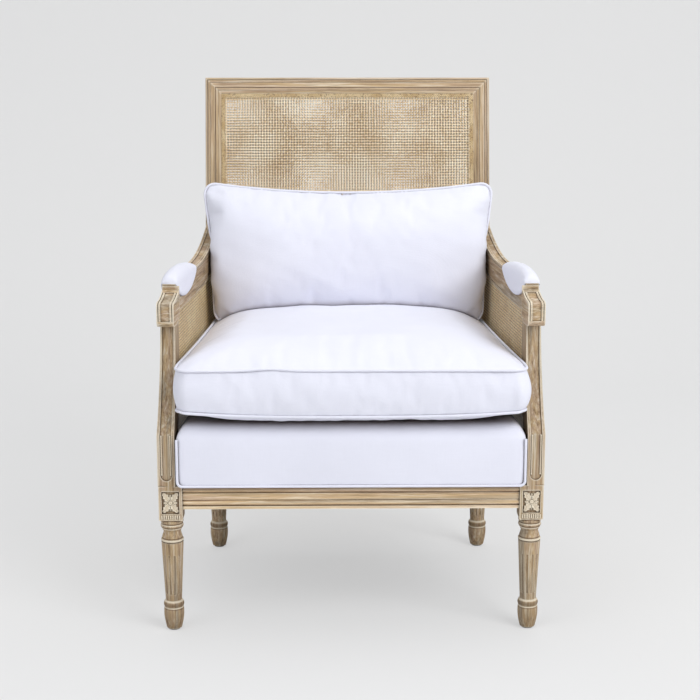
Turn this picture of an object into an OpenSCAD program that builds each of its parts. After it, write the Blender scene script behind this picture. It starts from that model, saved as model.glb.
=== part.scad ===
// Armchair with a cane back and cane sides, loose seat and back cushions, and turned legs.
// The chair faces -Y and stands on z = 0, with its origin under the middle of its box.

/* [Seat frame] */
// Width over the front blocks
width = 700; // [680:1:720]
// Side of the square block at the head of each leg
block = 43; // [42:0.5:46]
// Front leg axes to rear leg axes
leg_depth = 464; // [450:1:480]
// Distance between the rear leg axes
rear_spread = 554; // [544:1:562]
// Floor to the top of the seat rails
rail_top = 280; // [268:1:290]
// Height of the seat rails
rail_h = 44; // [40:1:48]
// Thickness of the front rail
front_rail_t = 28; // [24:1:30]
// Front rail's setback behind the face of the blocks
front_setback = 3; // [1:0.5:4]
// Thickness of the rear rail
rail_t = 24; // [20:1:26]
// Outer face of the side rails, outwards from the side line
side_rail_out = 12; // [10:0.5:14]
// Inner face of the side rails, inwards from the side line
side_rail_in = 20; // [16:0.5:20]
// Reach of the blocks below the rails
block_drop = 21; // [16:1:26]
// Length of the rails' tenons
tenon_l = 14; // [10:1:15]
// Thickness of the rails' tenons
tenon_t = 10; // [8:1:12]
// Shoulder above and below each rail tenon
tenon_shoulder = 9; // [6:1:12]
// Gap round a tenon in its mortise
tenon_gap = 0.1; // [0.05:0.05:0.3]

/* [Turned legs] */
// Height of the vase-shaped foot
foot_h = 42; // [36:1:48]
// Radius of the foot at its widest
foot_r = 18.6; // [17:0.1:20]
// Radius of the foot at the floor
foot_base_r = 14; // [12:0.5:15]
// Height of the ring above the foot
ring_h = 11; // [8:1:13]
// Radius of the ring
ring_r = 18.9; // [18:0.1:20.5]
// Radius of the shaft above the ring
shaft_base_r = 14.9; // [14:0.1:16]
// Radius of the shaft at its head
shaft_head_r = 20.3; // [19:0.1:21]
// Radius of the neck under the collar
neck_r = 15.8; // [14.5:0.1:17]
// Radius of the collar under the block
collar_r = 21; // [20:0.1:21.5]
// Height of the collar
collar_h = 17; // [14:1:19]
// Height of the bead round the shaft's head
lip_h = 5; // [4:0.5:7]
// How far that bead stands out
lip_out = 0.6; // [0:0.1:1]
// Depth of the quirks between the beads
bead_cut = 1.3; // [0.8:0.1:1.8]
// Width of those quirks
bead_gap = 1.2; // [0.8:0.1:2]
// Height of the neck
neck_h = 21; // [18:1:24]
// Number of flutes round each shaft
flutes = 12; // [8:1:14]
// Radius of a flute
flute_r = 2.4; // [1.8:0.1:2.8]
// Depth of a flute
flute_depth = 1.6; // [1:0.1:2]
// Plain shaft below the flutes
flute_below = 12; // [8:1:18]
// Plain shaft above the flutes
flute_above = 24; // [16:1:30]
// Thickness of the glide under each foot
glide_h = 3; // [2:0.5:5]
// Radius of the glides
glide_r = 10.5; // [8:0.5:12]

/* [Arm posts and arms] */
// Floor to the knee, where the post starts to lean back
knee_z = 375; // [360:1:390]
// Radius of the post's hollow front
sweep_front_r = 500; // [460:5:560]
// Depth of the post, front to back
post_depth = 38; // [34:1:42]
// How far the side line runs outside the rear legs' axes
side_shift = 8.7; // [6:0.1:11]
// Depth of the post's foot in its block
post_root = 1; // [0.5:0.25:2]
// Arm's top down to the post's head
post_head_drop = 61; // [59:0.5:63]
// Outer face of the post, outwards from the side line, at the knee
post_out = 20.5; // [19:0.5:21]
// Inner face of the post, inwards from the side line, at the knee
post_in = 11.5; // [9.5:0.5:12]
// How much narrower each side of the post is at its head
post_taper = 3; // [1:0.5:4]
// Width of the hollow worked down the front of the post
hollow_w = 21; // [16:0.5:22]
// Depth of that hollow
hollow_depth = 2.5; // [1.5:0.25:3]
// Radius of the beads beside the hollow
bead_r = 1.8; // [1.2:0.1:2]
// Floor to the top of the arm
arm_top = 641; // [625:1:655]
// Depth of the arm rail, top to underside
arm_h = 53; // [46:1:56]
// Outer face of the arm, outwards from the side line
arm_out = 15.5; // [14:0.5:16.5]
// Inner face of the arm rail, inwards from the side line
arm_in = 8.5; // [7.5:0.5:10]
// Inner face of the hand rest, inwards from the side line
scroll_in = 15.3; // [13:0.1:16]
// Reach of the hand rest in front of the post
scroll_reach = 43; // [36:1:50]
// Hang of the hand rest below the arm's top
scroll_drop = 68; // [64:1:74]
// Flat edge beside the quirks of the hand rest
scroll_edge = 2.2; // [1.5:0.1:3]
// Width of those quirks
scroll_quirk = 1.4; // [1:0.1:2]
// Width of the beads beside the hand rest's channel
scroll_bead = 3.6; // [2.8:0.1:4.4]
// Depth of the channel and the quirks
scroll_cut = 2; // [1.5:0.1:2.5]
// Distance from the arm's edges to its side quirks
quirk_in = 5; // [4:0.5:8]
// Width of the side quirks
quirk_w = 1.6; // [1:0.1:2.2]
// Depth of the side quirks
quirk_cut = 1; // [0.6:0.1:1.5]
// Where the arm starts to sweep up, behind the front legs
rise_start = 300; // [270:5:320]
// Radius of the arm's upward sweep
rise_r = 536; // [500:5:600]
// Radius of the dowels between the arm and the back
dowel_r = 4; // [3:0.5:5]
// Length of those dowels
dowel_l = 44; // [34:2:50]

/* [Back] */
// Floor to the front top edge of the back
back_top = 988; // [960:1:1010]
// Lean of the back, in degrees
rake = 12; // [10:0.5:13.5]
// Thickness of the back frame
back_t = 38; // [34:1:40]
// Width of the moulding on the face of the frame
mould_w = 33; // [30:0.5:33]
// Step from the face down to the cane
cane_step = 4; // [3:0.5:5]
// Width of the groove for the reed spline
groove_w = 6; // [5:0.5:7]
// Depth of that groove
groove_depth = 5; // [4:0.5:6]
// Height of the back's lower rail above the seat rails, along the lean
lower_rail_up = 100; // [80:2:120]

/* [Cane] */
// Thickness of the cane
cane_t = 1.2; // [1:0.1:1.6]
// Meshes across the back
mesh_across = 15; // [8:1:18]
// Meshes up the back
mesh_up = 16; // [8:1:18]
// Pitch of the side cane's mesh
side_pitch = 38; // [34:1:60]
// Width of a cane strand
strand = 9; // [6:0.5:12]
// Depth of the slot that takes the side cane
slot_depth = 4; // [3:0.5:5]
// Side cane, inwards from the side line
side_cane_in = 4; // [3:0.25:5]
// Section of the reed bead along the side cane
reed = 3; // [2:0.25:4]
// Gap round the spline and the side cane
fit_gap = 0.1; // [0.05:0.05:0.3]

/* [Seat] */
// Height of the deck's crown above the seat rails
deck_h = 118; // [106:1:126]
// Height of the deck's upright edge
deck_edge = 94; // [84:1:98]
// Deck's front, forward of the front leg axes
deck_front = 30; // [27:0.5:34]
// Radius of the deck's piping
deck_pipe_r = 2.3; // [1.8:0.1:2.8]
// Floor to the seat cushion's upper piping
cushion_pipe_z = 500; // [494:1:510]
// Height of the seat cushion's border
border_h = 78; // [68:1:84]
// Rise of the lower seam at the seat cushion's corners
corner_lift = 12; // [0:1:18]
// Crown of the seat cushion above its piping
seat_crown = 52; // [38:1:58]
// How far its underside bellies below the lower seam, before the deck flattens it
seat_belly = 36; // [30:1:44]
// Seat cushion's front, forward of the front leg axes
cushion_front = 52; // [46:1:58]
// How far the seat cushion runs back past the foot of the leaning back
cushion_tuck = 9.5; // [0:0.5:11]
// How far the sides of a cushion draw in
draw_in = 5; // [2:0.5:8]
// Radius of the cushions' piping
pipe_r = 2.4; // [1.8:0.1:3]
// Gap between soft pieces and what they lie on
soft_gap = 0.35; // [0.3:0.05:0.6]

/* [Back cushion] */
// Width of the back cushion at its top
pillow_w = 582; // [560:2:584]
// Width of the back cushion at its foot
pillow_foot = 536; // [510:2:540]
// Radius of the back cushion's corners
pillow_r = 24; // [22:1:34]
// Height of the back cushion
pillow_h = 284; // [260:2:300]
// Bottom seam above the seat rails, along the lean
pillow_up = 205; // [196:1:225]
// Seam of the back cushion, forward of the back frame
pillow_back = 100; // [86:1:104]
// Crown of the back cushion in front of its seam
pillow_crown = 78; // [60:1:86]
// Dip in the back cushion's top edge
pillow_dip = 14; // [0:1:20]

/* [Hidden] */
left = -1;
right = 1;
oak = "#b9a183";
oak_dark = "#a58c6c";
cane_tan = "#d0ab72";
linen = "#eeeef3";
jute = "#b79b6b";
steel = "#9a9a9a";

// Places worked out from the driving sizes
front_x = (width - block) / 2;
rear_x = rear_spread / 2;
half_block = block / 2;
block_z = rail_top - rail_h - block_drop;
rail_z = rail_top - rail_h;
side_angle = atan((front_x - rear_x - side_shift) / leg_depth);
rear_face = leg_depth - half_block;
cushion_depth = cushion_front + rear_face + cushion_tuck;
back_half = rear_x + half_block;
back_len = (back_top - rail_top) / cos(rake);
back_open = back_half - block;
crest_z = back_len - block;
lower_z = lower_rail_up + block;
box_front = cushion_front + 4;
box_back = rear_face + back_len * sin(rake) + back_t * cos(rake);
mid_y = (box_back - box_front) / 2;

// The post's hollow front is an arc that meets the block's face at the knee
joint_z = arm_top - post_head_drop;
post_foot_z = rail_top - post_root;
arc_z = joint_z + 5;
arc_s = -half_block - sqrt(pow(sweep_front_r, 2) - pow(arc_z - knee_z, 2));
post_s = arc_s + sweep_front_r;
post_back_r = sweep_front_r + post_depth;
post_back_s = arc_s + sqrt(pow(post_back_r, 2) - pow(arc_z - knee_z, 2));
post_rear = arc_s + post_back_r;
scroll_s = post_s - scroll_reach;
scroll_back = post_s + 17;
scroll_z = arm_top - scroll_drop;
arm_under = arm_top - arm_h;
pad_end = rise_start - 55;

function arc(cx, cy, r, from, to, steps = 8) =
    [for (i = [0 : steps]) let (a = from + (to - from) * i / steps) [cx + r * cos(a), cy + r * sin(a)]];
function half_wave(x0, x1, y, rise, steps = 6) =
    [for (i = [0 : steps]) [x0 + (x1 - x0) * i / steps, y + rise * sin(180 * i / steps)]];
function mix(a, b, t) = a + (b - a) * t;
function post_front_at(z) = arc_s + sqrt(pow(sweep_front_r, 2) - pow(arc_z - z, 2));

// Frames of reference
module chair() {
    translate([0, -mid_y, 0]) children();
}
module handed(side) {
    if (side == left) chair() children();
    else chair() mirror([1, 0, 0]) children();
}
// Side line: +y runs to the rear along the seat's side, -x points out of the chair
module side_line() {
    translate([-front_x, 0, 0]) rotate([0, 0, -side_angle]) children();
}
// Carries a side view (distance to the rear, height) between two faces of the side line
module side_slab(out, into) {
    side_line() translate([-out, 0, 0]) rotate([90, 0, 90]) linear_extrude(out + into) children();
}
// Carries a front view of the side line between two distances to the rear
module side_front(s0, s1) {
    side_line() translate([0, s1, 0]) rotate([90, 0, 0]) linear_extrude(s1 - s0) children();
}
// Back: x across, z up the lean from the seat rails, y into the thickness
module lean() {
    translate([0, rear_face, rail_top]) rotate([-rake, 0, 0]) children();
}
// Carries a face view of the back between two depths
module lean_slab(d0, d1) {
    lean() translate([0, d1, 0]) rotate([90, 0, 0]) linear_extrude(d1 - d0) children();
}
// Everything behind the front plane of the back
module behind_back() {
    lean() translate([-width, 0, -width]) cube([2 * width, width, 3 * width]);
}

// Turned leg, from the glide to the block
foot_wave = 115;
ring_in = foot_r - 1.4;
ring_z = foot_h + 2;
shaft_z = ring_z + ring_h + 2;
neck_z = block_z - collar_h - neck_h;
shaft_top = neck_z - lip_h - bead_gap;
module turning() {
    foot = [for (i = [0 : 8]) [foot_base_r + (foot_r - foot_base_r) * sin(foot_wave * i / 8),
        glide_h + (foot_h - glide_h) * i / 8]];
    ring = [for (i = [0 : 6]) [ring_in + (ring_r - ring_in) * sin(180 * i / 6), ring_z + ring_h * i / 6]];
    neck = [for (i = [0 : 6]) [neck_r + (shaft_head_r - bead_cut - neck_r) * pow(cos(90 * i / 6), 2),
        neck_z + neck_h * 0.66 * i / 6]];
    function bead(r, z0, z1) = [for (i = [0 : 6])
        [r - bead_cut + bead_cut * sin(180 * i / 6), z0 + (z1 - z0) * i / 6]];
    collar_bead = (collar_h - 2 * bead_gap) / 2;
    rotate_extrude($fn = 64) polygon(concat(
        [[0, glide_h]], foot, ring, [[shaft_base_r, shaft_z], [shaft_head_r, shaft_top],
            [shaft_head_r - bead_cut, shaft_top + bead_gap / 2]],
        bead(shaft_head_r + lip_out, shaft_top + bead_gap, neck_z - 0.1), neck,
        bead(collar_r, block_z - collar_h, block_z - collar_h + collar_bead),
        bead(collar_r, block_z - bead_gap - collar_bead, block_z - bead_gap),
        [[collar_r - bead_cut, block_z], [0, block_z]]));
}
flute_z0 = shaft_z + flute_below;
flute_z1 = shaft_top - flute_above;
shaft_slope = atan((shaft_head_r - shaft_base_r) / (shaft_top - shaft_z));
function shaft_r(z) = mix(shaft_base_r, shaft_head_r, (z - shaft_z) / (shaft_top - shaft_z));
module leg() {
    reach = (flute_z1 - flute_z0) / 2 - flute_r;
    mid = (flute_z0 + flute_z1) / 2;
    difference() {
        turning();
        for (i = [0 : flutes - 1])
            rotate([0, 0, (i + 0.5) * 360 / flutes])
                translate([shaft_r(mid) + flute_r - flute_depth, 0, mid])
                    rotate([0, shaft_slope, 0]) {
                        translate([0, 0, -reach]) cylinder(h = 2 * reach, r = flute_r, $fn = 24);
                        for (e = [-reach, reach]) translate([0, 0, e]) sphere(flute_r, $fn = 24);
                    }
        translate([0, 0, glide_h - 1]) cylinder(h = glide_pin_l + 1, r = glide_pin_r + tenon_gap, $fn = 24);
    }
    translate([-half_block, -half_block, block_z]) cube([block, block, rail_h + block_drop]);
}

// Tenons of the seat frame, drawn once for the rails and once, grown, for the mortises
front_rail_y = front_setback - half_block;
front_tenon_y = front_rail_y + 4;
rear_tenon_y = rear_face + half_block + 1;
module side_tenon(grow = 0) {
    s0 = half_block - tenon_l;
    s1 = (rear_face + tenon_l) / cos(side_angle);
    side_line() translate([-tenon_t / 2 - grow, s0 - grow, rail_z + tenon_shoulder - grow])
        cube([tenon_t + 2 * grow, s1 - s0 + 2 * grow, rail_h - 2 * tenon_shoulder + 2 * grow]);
}
module cross_tenon(reach, y, grow = 0) {
    translate([-reach - grow, y - grow, rail_z + tenon_shoulder - grow])
        cube([2 * (reach + grow), tenon_t + 2 * grow, rail_h - 2 * tenon_shoulder + 2 * grow]);
}
front_tenon_x = front_x - half_block + tenon_l;
rear_tenon_x = rear_x - half_block + tenon_l;

// Side view of the arm post, without its hollow
module post_side(grow = 0) {
    difference() {
        intersection() {
            translate([grow - half_block, post_foot_z])
                square([post_rear + half_block - grow, joint_z - post_foot_z]);
            union() {
                translate([arc_s, arc_z]) circle(post_back_r, $fn = 360);
                translate([-half_block, post_foot_z])
                    square([post_back_s + half_block, knee_z - post_foot_z]);
            }
        }
        translate([arc_s, arc_z]) circle(sweep_front_r + grow, $fn = 360);
    }
}
// Front view of the arm post, narrowing from the knee to the arm
module post_front() {
    polygon([[-post_out, post_foot_z], [post_in, post_foot_z], [post_in, knee_z],
        [post_in - post_taper, joint_z], [post_taper - post_out, joint_z], [-post_out, knee_z]]);
}
hollow_x = (post_in - post_out) / 2;
hollow_z = rail_top + 10;
bead_x = hollow_w / 2 - bead_r - 0.5;
module post_hollow_front() {
    translate([hollow_x - hollow_w / 2, hollow_z + hollow_w / 2]) square([hollow_w, width]);
    translate([hollow_x, hollow_z + hollow_w / 2]) circle(hollow_w / 2, $fn = 48);
}
// Half-sunk beads that follow the front of the post
module post_beads() {
    for (x = [hollow_x - bead_x, hollow_x + bead_x]) side_line() translate([x, 0, 0]) {
        translate([0, bead_r - half_block, hollow_z + hollow_w / 2])
            cylinder(h = knee_z - hollow_z - hollow_w / 2, r = bead_r, $fn = 24);
        translate([0, arc_s, arc_z]) rotate([0, 90, 0]) rotate([0, 0, bead_from])
            rotate_extrude(angle = bead_turn, $fn = 360)
                translate([sweep_front_r + bead_r, 0]) circle(bead_r, $fn = 24);
    }
}
bead_turn = asin((arc_z - knee_z) / sweep_front_r);
bead_from = 90;
arm_tenon_h = 16;
arm_tenon_w = 12;
arm_tenon_d = 24;
module arm_tenon(grow = 0) {
    side_line() translate([(post_in - post_out - arm_tenon_w) / 2 + 2 - grow,
        post_s + (post_depth - arm_tenon_d) / 2 - grow, joint_z - 1])
        cube([arm_tenon_w + 2 * grow, arm_tenon_d + 2 * grow, arm_tenon_h + 1 + grow]);
}

// Carved panel: four leaves to the corners, four between them and a button
panel_w = 32;
panel_h = 42;
panel_depth = 2.4;
panel_z = block_z + 34;
leaf_l = 17;
module leaf(length, fat) {
    r = (pow(length / 2, 2) + pow(fat / 2, 2)) / fat;
    translate([0, length / 2]) intersection() {
        translate([r - fat / 2, 0]) circle(r, $fn = 64);
        translate([fat / 2 - r, 0]) circle(r, $fn = 64);
    }
}
module rosette() {
    for (x = [-1, 1], z = [-1, 1])
        linear_extrude(panel_depth) rotate([0, 0, -x * (z > 0 ? 36 : 144)])
            translate([0, 2.5]) leaf(leaf_l, 7);
    for (a = [0, 90, 180, 270])
        linear_extrude(panel_depth - 1) rotate([0, 0, a]) translate([0, 2.5]) leaf(a % 180 == 0 ? 13 : 10, 4);
    cylinder(h = panel_depth + 0.6, r = 4, $fn = 32);
}
module front_post(side) {
    color(oak) handed(side) {
        difference() {
            union() {
                translate([-front_x, 0, 0]) leg();
                intersection() {
                    side_slab(post_out, post_in) post_side();
                    side_front(-half_block - 1, post_rear + 1) post_front();
                }
            }
            intersection() {
                side_slab(post_out, post_in) difference() {
                    translate([-half_block - 8, hollow_z])
                        square([post_rear + half_block, joint_z - hollow_z + 1]);
                    post_side(hollow_depth);
                }
                side_front(-half_block - 9, post_s + hollow_depth + 1) post_hollow_front();
            }
            translate([-front_x - panel_w / 2, -half_block - 1, panel_z - panel_h / 2])
                cube([panel_w, panel_depth + 1, panel_h]);
            side_tenon(tenon_gap);
            cross_tenon(front_tenon_x, front_tenon_y, tenon_gap);
            side_cane_solid(slot_depth, fit_gap);
            corner_screw_front(screw_r);
        }
        intersection() {
            post_beads();
            side_front(-half_block - 1, post_rear) translate([-width, 0]) square([2 * width, joint_z]);
        }
        translate([-front_x, panel_depth - half_block, panel_z]) rotate([90, 0, 0]) rosette();
        arm_tenon();
    }
}

// Section of the back frame: outer edge at x = 0, face at y = 0, groove for the cane on both faces
module frame_section() {
    g = mould_w + 2;
    polygon(concat(
        [[0, back_t], [0, 1.5], [1.5, 0], [4, 0], [4, 1.5]],
        half_wave(4.5, 10, 1.5, -1.5), [[10.5, 1.5], [10.5, 0.6], [20, 0.6], [20, 2]],
        half_wave(20.5, 26, 2, -1.4), [[26.5, 2], [26.5, 2.8], [mould_w, 2.8], [mould_w, cane_step],
            [g, cane_step], [g, cane_step + groove_depth], [g + groove_w, cane_step + groove_depth],
            [g + groove_w, cane_step], [block, cane_step], [block, back_t - cane_step],
            [g + groove_w, back_t - cane_step], [g + groove_w, back_t - cane_step - groove_depth],
            [g, back_t - cane_step - groove_depth], [g, back_t - cane_step],
            [mould_w, back_t - cane_step], [mould_w, back_t]]));
}
lower_tenon_l = 18;
lower_tenon_h = block - 16;
module lower_tenon(grow = 0) {
    lean() translate([-back_open - lower_tenon_l - grow, 14 - grow, lower_rail_up + 8 - grow])
        cube([2 * (back_open + lower_tenon_l + grow), tenon_t + 2 * grow, lower_tenon_h + 2 * grow]);
}
// Lets the lower grooves run through the edge of the stile
module groove_corner() {
    for (d = [cane_step, back_t - cane_step - groove_depth])
        lean_slab(d, d + groove_depth)
            translate([-back_open - rim - 1, lower_z - rim - groove_w]) square([rim + 2, groove_w]);
}
module rear_post(side) {
    color(oak) handed(side) difference() {
        union() {
            translate([-rear_x, leg_depth, 0]) leg();
            intersection() {
                lean() translate([-back_half, 0, -20]) linear_extrude(back_len + 20) frame_section();
                lean_slab(-1, back_t + 1) polygon([[-back_half, -20], [-back_open, -20],
                    [-back_open, crest_z], [-back_half, back_len]]);
                translate([-width, 0, rail_top]) cube([width, 2 * width, 2 * width]);
            }
        }
        side_tenon(tenon_gap);
        cross_tenon(rear_tenon_x, rear_tenon_y, tenon_gap);
        lower_tenon(tenon_gap);
        groove_corner();
        side_cane_solid(slot_depth, fit_gap);
        arm_dowel_pair(tenon_gap);
        corner_screw_rear(screw_r);
    }
}
module crest_rail() {
    color(oak) chair() intersection() {
        lean() translate([-back_half, 0, back_len]) rotate([0, 90, 0])
            linear_extrude(2 * back_half) frame_section();
        lean_slab(-1, back_t + 1) polygon([[-back_half, back_len], [back_half, back_len],
            [back_open, crest_z], [-back_open, crest_z]]);
    }
}
module back_lower_rail() {
    color(oak) chair() {
        lean() translate([back_open, 0, lower_rail_up]) rotate([0, -90, 0])
            linear_extrude(2 * back_open) frame_section();
        lower_tenon();
    }
}

// Cane of the back: a net, with a rim that turns down into the groove
rim = block - mould_w - 2 - groove_w;
function rect(x0, z0, x1, z1) = [[x0, z0], [x1, z0], [x1, z1], [x0, z1]];
function net_holes(x0, z0, x1, z1, nx, nz, s) = let (px = (x1 - x0 - s) / nx, pz = (z1 - z0 - s) / nz)
    [for (i = [0 : nx - 1], j = [0 : nz - 1])
        rect(x0 + s + px * i, z0 + s + pz * j, x0 + px * (i + 1), z0 + pz * (j + 1))];
module loops(outer, holes) {
    all = concat([outer], holes);
    paths = [for (k = [0 : len(all) - 1]) [for (i = [0 : 3]) 4 * k + i]];
    polygon(points = [for (l = all) each l], paths = paths);
}
turn_in = rim + cane_t;
module back_cane(d_sheet, d_turn0, d_turn1) {
    outer = rect(-back_open - turn_in, lower_z - turn_in, back_open + turn_in, crest_z + turn_in);
    inner = rect(-back_open - rim, lower_z - rim, back_open + rim, crest_z + rim);
    lean_slab(d_sheet, d_sheet + cane_t)
        loops(outer, net_holes(-back_open, lower_z, back_open, crest_z, mesh_across, mesh_up, strand));
    lean_slab(d_turn0, d_turn1) loops(outer, [inner]);
}
module back_spline(d0, d1) {
    a = turn_in + fit_gap;
    b = rim + groove_w - fit_gap;
    lean_slab(d0, d1) loops(rect(-back_open - b, lower_z - b, back_open + b, crest_z + b),
        [rect(-back_open - a, lower_z - a, back_open + a, crest_z + a)]);
}
spline_proud = 0.6;
module back_cane_front() {
    color(cane_tan) chair()
        back_cane(cane_step - cane_t, cane_step - cane_t, cane_step + groove_depth - fit_gap);
}
module back_cane_rear() {
    step = back_t - cane_step;
    color(cane_tan) chair() back_cane(step, step - groove_depth + fit_gap, step + cane_t);
}
module back_spline_front() {
    color(cane_tan) chair()
        back_spline(cane_step - cane_t - spline_proud, cane_step + groove_depth - fit_gap);
}
module back_spline_rear() {
    color(cane_tan) chair() back_spline(back_t - cane_step - groove_depth + fit_gap,
        back_t - cane_step + cane_t + spline_proud);
}

// Seat rails; the front rail's moulding is given in steps up from its lower edge
module front_seat_rail() {
    f = front_rail_y;
    k = rail_h / 44;
    function bead(z0, z1) = [for (i = [0 : 6])
        [f + 2.5 - 2.5 * sin(180 * i / 6), rail_z + k * (z0 + (z1 - z0) * i / 6)]];
    section = concat([[f, rail_z], [f, rail_z + 5.5 * k], [f + 2.5, rail_z + 6 * k]], bead(6.5, 16),
        [[f + 3, rail_z + 16.5 * k], [f + 1.2, rail_z + 18 * k], [f + 1.2, rail_z + 29.5 * k],
            [f + 3, rail_z + 31 * k]], bead(31.5, 40.5),
        [[f + 1.5, rail_z + 41 * k], [f + 1.5, rail_top],
            [f + front_rail_t, rail_top], [f + front_rail_t, rail_z]]);
    color(oak) chair() {
        translate([half_block - front_x, 0, 0]) rotate([90, 0, 90])
            linear_extrude(2 * front_x - block) polygon(section);
        cross_tenon(front_tenon_x, front_tenon_y);
    }
}
rear_rail_y = rear_face + 14;
module rear_seat_rail() {
    color(oak_dark) chair() {
        translate([half_block - rear_x, rear_rail_y, rail_z]) cube([2 * rear_x - block, rail_t, rail_h]);
        cross_tenon(rear_tenon_x, rear_tenon_y);
    }
}
module side_seat_rail(side) {
    color(oak) handed(side) difference() {
        union() {
            intersection() {
                side_line() translate([-side_rail_out, 0, rail_z])
                    cube([side_rail_out + side_rail_in, leg_depth, rail_h]);
                translate([-width, half_block, 0]) cube([width, rear_face - half_block, width]);
            }
            side_tenon();
        }
        side_cane_solid(slot_depth, fit_gap);
        corner_screw_front(screw_r + fit_gap);
    }
}

// Arm: side view, then its hand rest, which is wider than the rail
cove = 16;
scroll_round = 8;
scroll_top = arm_top - 3;
module arm_outline() {
    z1 = scroll_top - 22;
    polygon(concat(
        [[post_front_at(scroll_z), joint_z], [post_front_at(scroll_z), scroll_z]],
        arc(scroll_s + scroll_round, scroll_z + scroll_round, scroll_round, 270, 180, 5),
        arc(scroll_s + scroll_round, z1 - scroll_round + 2, scroll_round, 180, 110, 4),
        [for (i = [1 : 6]) [mix(scroll_s + scroll_round, scroll_back - 3, i / 6),
            z1 + 2 + 13 * (1 - cos(15 * i))]],
        [[scroll_back - 3, scroll_top], [scroll_back, scroll_top], [scroll_back, arm_top]],
        arc(rise_start, arm_top + rise_r, rise_r, 270, 300, 18),
        arc(rise_start, arm_top + rise_r, rise_r + arm_h, 300, 270, 18),
        arc(post_rear + cove, arm_under - cove, cove, 90, 180, 12),
        [[post_rear, joint_z]]));
}
module scroll_zone() {
    translate([scroll_s - 5, scroll_z - 5]) square([scroll_back - scroll_s + 5, arm_top - scroll_z + 10]);
}
scroll_w = arm_out + scroll_in;
scroll_inset = scroll_edge + scroll_quirk + scroll_bead;
channel_z = max(scroll_z + scroll_round, joint_z + scroll_cut) + 1;
arm_hollow_w = 12;
module arm(side) {
    color(oak) handed(side) difference() {
        union() {
            side_slab(arm_out, arm_in) arm_outline();
            side_slab(arm_out, scroll_in) intersection() {
                arm_outline();
                scroll_zone();
            }
        }
        for (cut = [[scroll_edge, scroll_quirk], [scroll_inset, scroll_w - 2 * scroll_inset],
            [scroll_w - scroll_edge - scroll_quirk, scroll_quirk]])
            side_slab(arm_out - cut[0], cut[0] + cut[1] - arm_out) intersection() {
                difference() {
                    arm_outline();
                    offset(delta = -scroll_cut) arm_outline();
                }
                translate([scroll_s - 5, channel_z]) square([scroll_back - 6 - scroll_s, width]);
            }
        // A quirk runs along the edges of both faces, behind the pad
        for (face = [[quirk_cut - arm_in, arm_in + 1], [arm_out + 1, quirk_cut - arm_out]])
            side_slab(face[0], face[1]) intersection() {
                difference() {
                    offset(delta = -quirk_in) arm_outline();
                    offset(delta = -quirk_in - quirk_w) arm_outline();
                }
                translate([pad_end + 5, 0]) square([width, 2 * width]);
            }
        side_slab(arm_out - (arm_out + arm_in - arm_hollow_w) / 2,
            arm_in - (arm_out + arm_in - arm_hollow_w) / 2) difference() {
            translate([pad_end + 15, arm_top - 2]) square([width, width]);
            translate([rise_start, arm_top + rise_r]) difference() {
                translate([-width, -2 * width]) square([2 * width, 2 * width]);
                circle(rise_r + 2, $fn = 360);
            }
        }
        behind_back();
        arm_tenon(tenon_gap);
        arm_dowel_pair(tenon_gap);
        side_cane_solid(slot_depth, fit_gap);
    }
}
// The dowels lie along the arm, one above the other, half in the arm and half in the stile
dowel_space = 24;
module arm_dowel_pair(grow = 0) {
    s = stile_s(arm_top);
    z = arm_top + rise_r - sqrt(pow(rise_r + arm_h / 2, 2) - pow(s - rise_start, 2));
    side_line() for (k = [-0.5, 0.5])
        translate([(arm_in - arm_out) / 2, s - dowel_l / 2 - grow, z + k * dowel_space])
            rotate([-90, 0, 0]) cylinder(h = dowel_l + 2 * grow, r = dowel_r + grow, $fn = 32);
}
module arm_dowels() {
    color(oak_dark) for (side = [left, right]) handed(side) arm_dowel_pair();
}

// Opening of the side, seen from the side; the cane fills it and enters slots round it
module side_opening() {
    difference() {
        union() {
            translate([post_back_s, rail_top]) square([leg_depth, knee_z - rail_top]);
            difference() {
                translate([0, knee_z]) square([leg_depth + 160, arm_under - knee_z]);
                translate([arc_s, arc_z]) circle(post_back_r, $fn = 360);
                difference() {
                    translate([0, arm_under - cove]) square([post_rear + cove, cove]);
                    translate([post_rear + cove, arm_under - cove]) circle(cove, $fn = 48);
                }
            }
            intersection() {
                translate([rise_start, arm_under - 1]) square([leg_depth, 120]);
                translate([rise_start, arm_top + rise_r]) difference() {
                    translate([0, -2 * width]) square([width, 2 * width]);
                    circle(rise_r + arm_h, $fn = 720);
                }
            }
        }
        polygon([for (z = [rail_top - 50, rail_top + 2 * width]) [stile_s(z), z],
            [2 * width, 2 * width], [2 * width, 0]]);
    }
}
function stile_s(z) = (rear_face + (z - rail_top) * tan(rake)) / cos(side_angle);
module side_cane_solid(grow, gap = 0) {
    side_slab(-side_cane_in + cane_t + gap, side_cane_in + gap) offset(delta = grow + gap) side_opening();
}
module side_cane(side) {
    g = slot_depth - 0.5;
    nz = floor((arm_under - rail_top - 40) / side_pitch);
    function front_s(z) = z < knee_z ? post_back_s : arc_s + sqrt(pow(post_back_r, 2) - pow(z - arc_z, 2));
    color(cane_tan) handed(side) side_slab(-side_cane_in + cane_t, side_cane_in) difference() {
        offset(delta = g) side_opening();
        for (j = [0 : nz - 1]) let (z = rail_top + 30 + j * side_pitch,
            z1 = z + side_pitch - strand, s0 = max(front_s(z), front_s(z1)) + 16, s1 = stile_s(z) - 16,
            n = floor((s1 - s0) / side_pitch), p = (s1 - s0 + strand) / n)
            for (i = [0 : n - 1]) translate([s0 + i * p, z]) square([p - strand, z1 - z]);
    }
}
module side_reed(side) {
    color(cane_tan) handed(side) side_slab(-side_cane_in, side_cane_in + reed) difference() {
        offset(delta = -fit_gap) side_opening();
        offset(delta = -fit_gap - reed) side_opening();
    }
}

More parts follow.
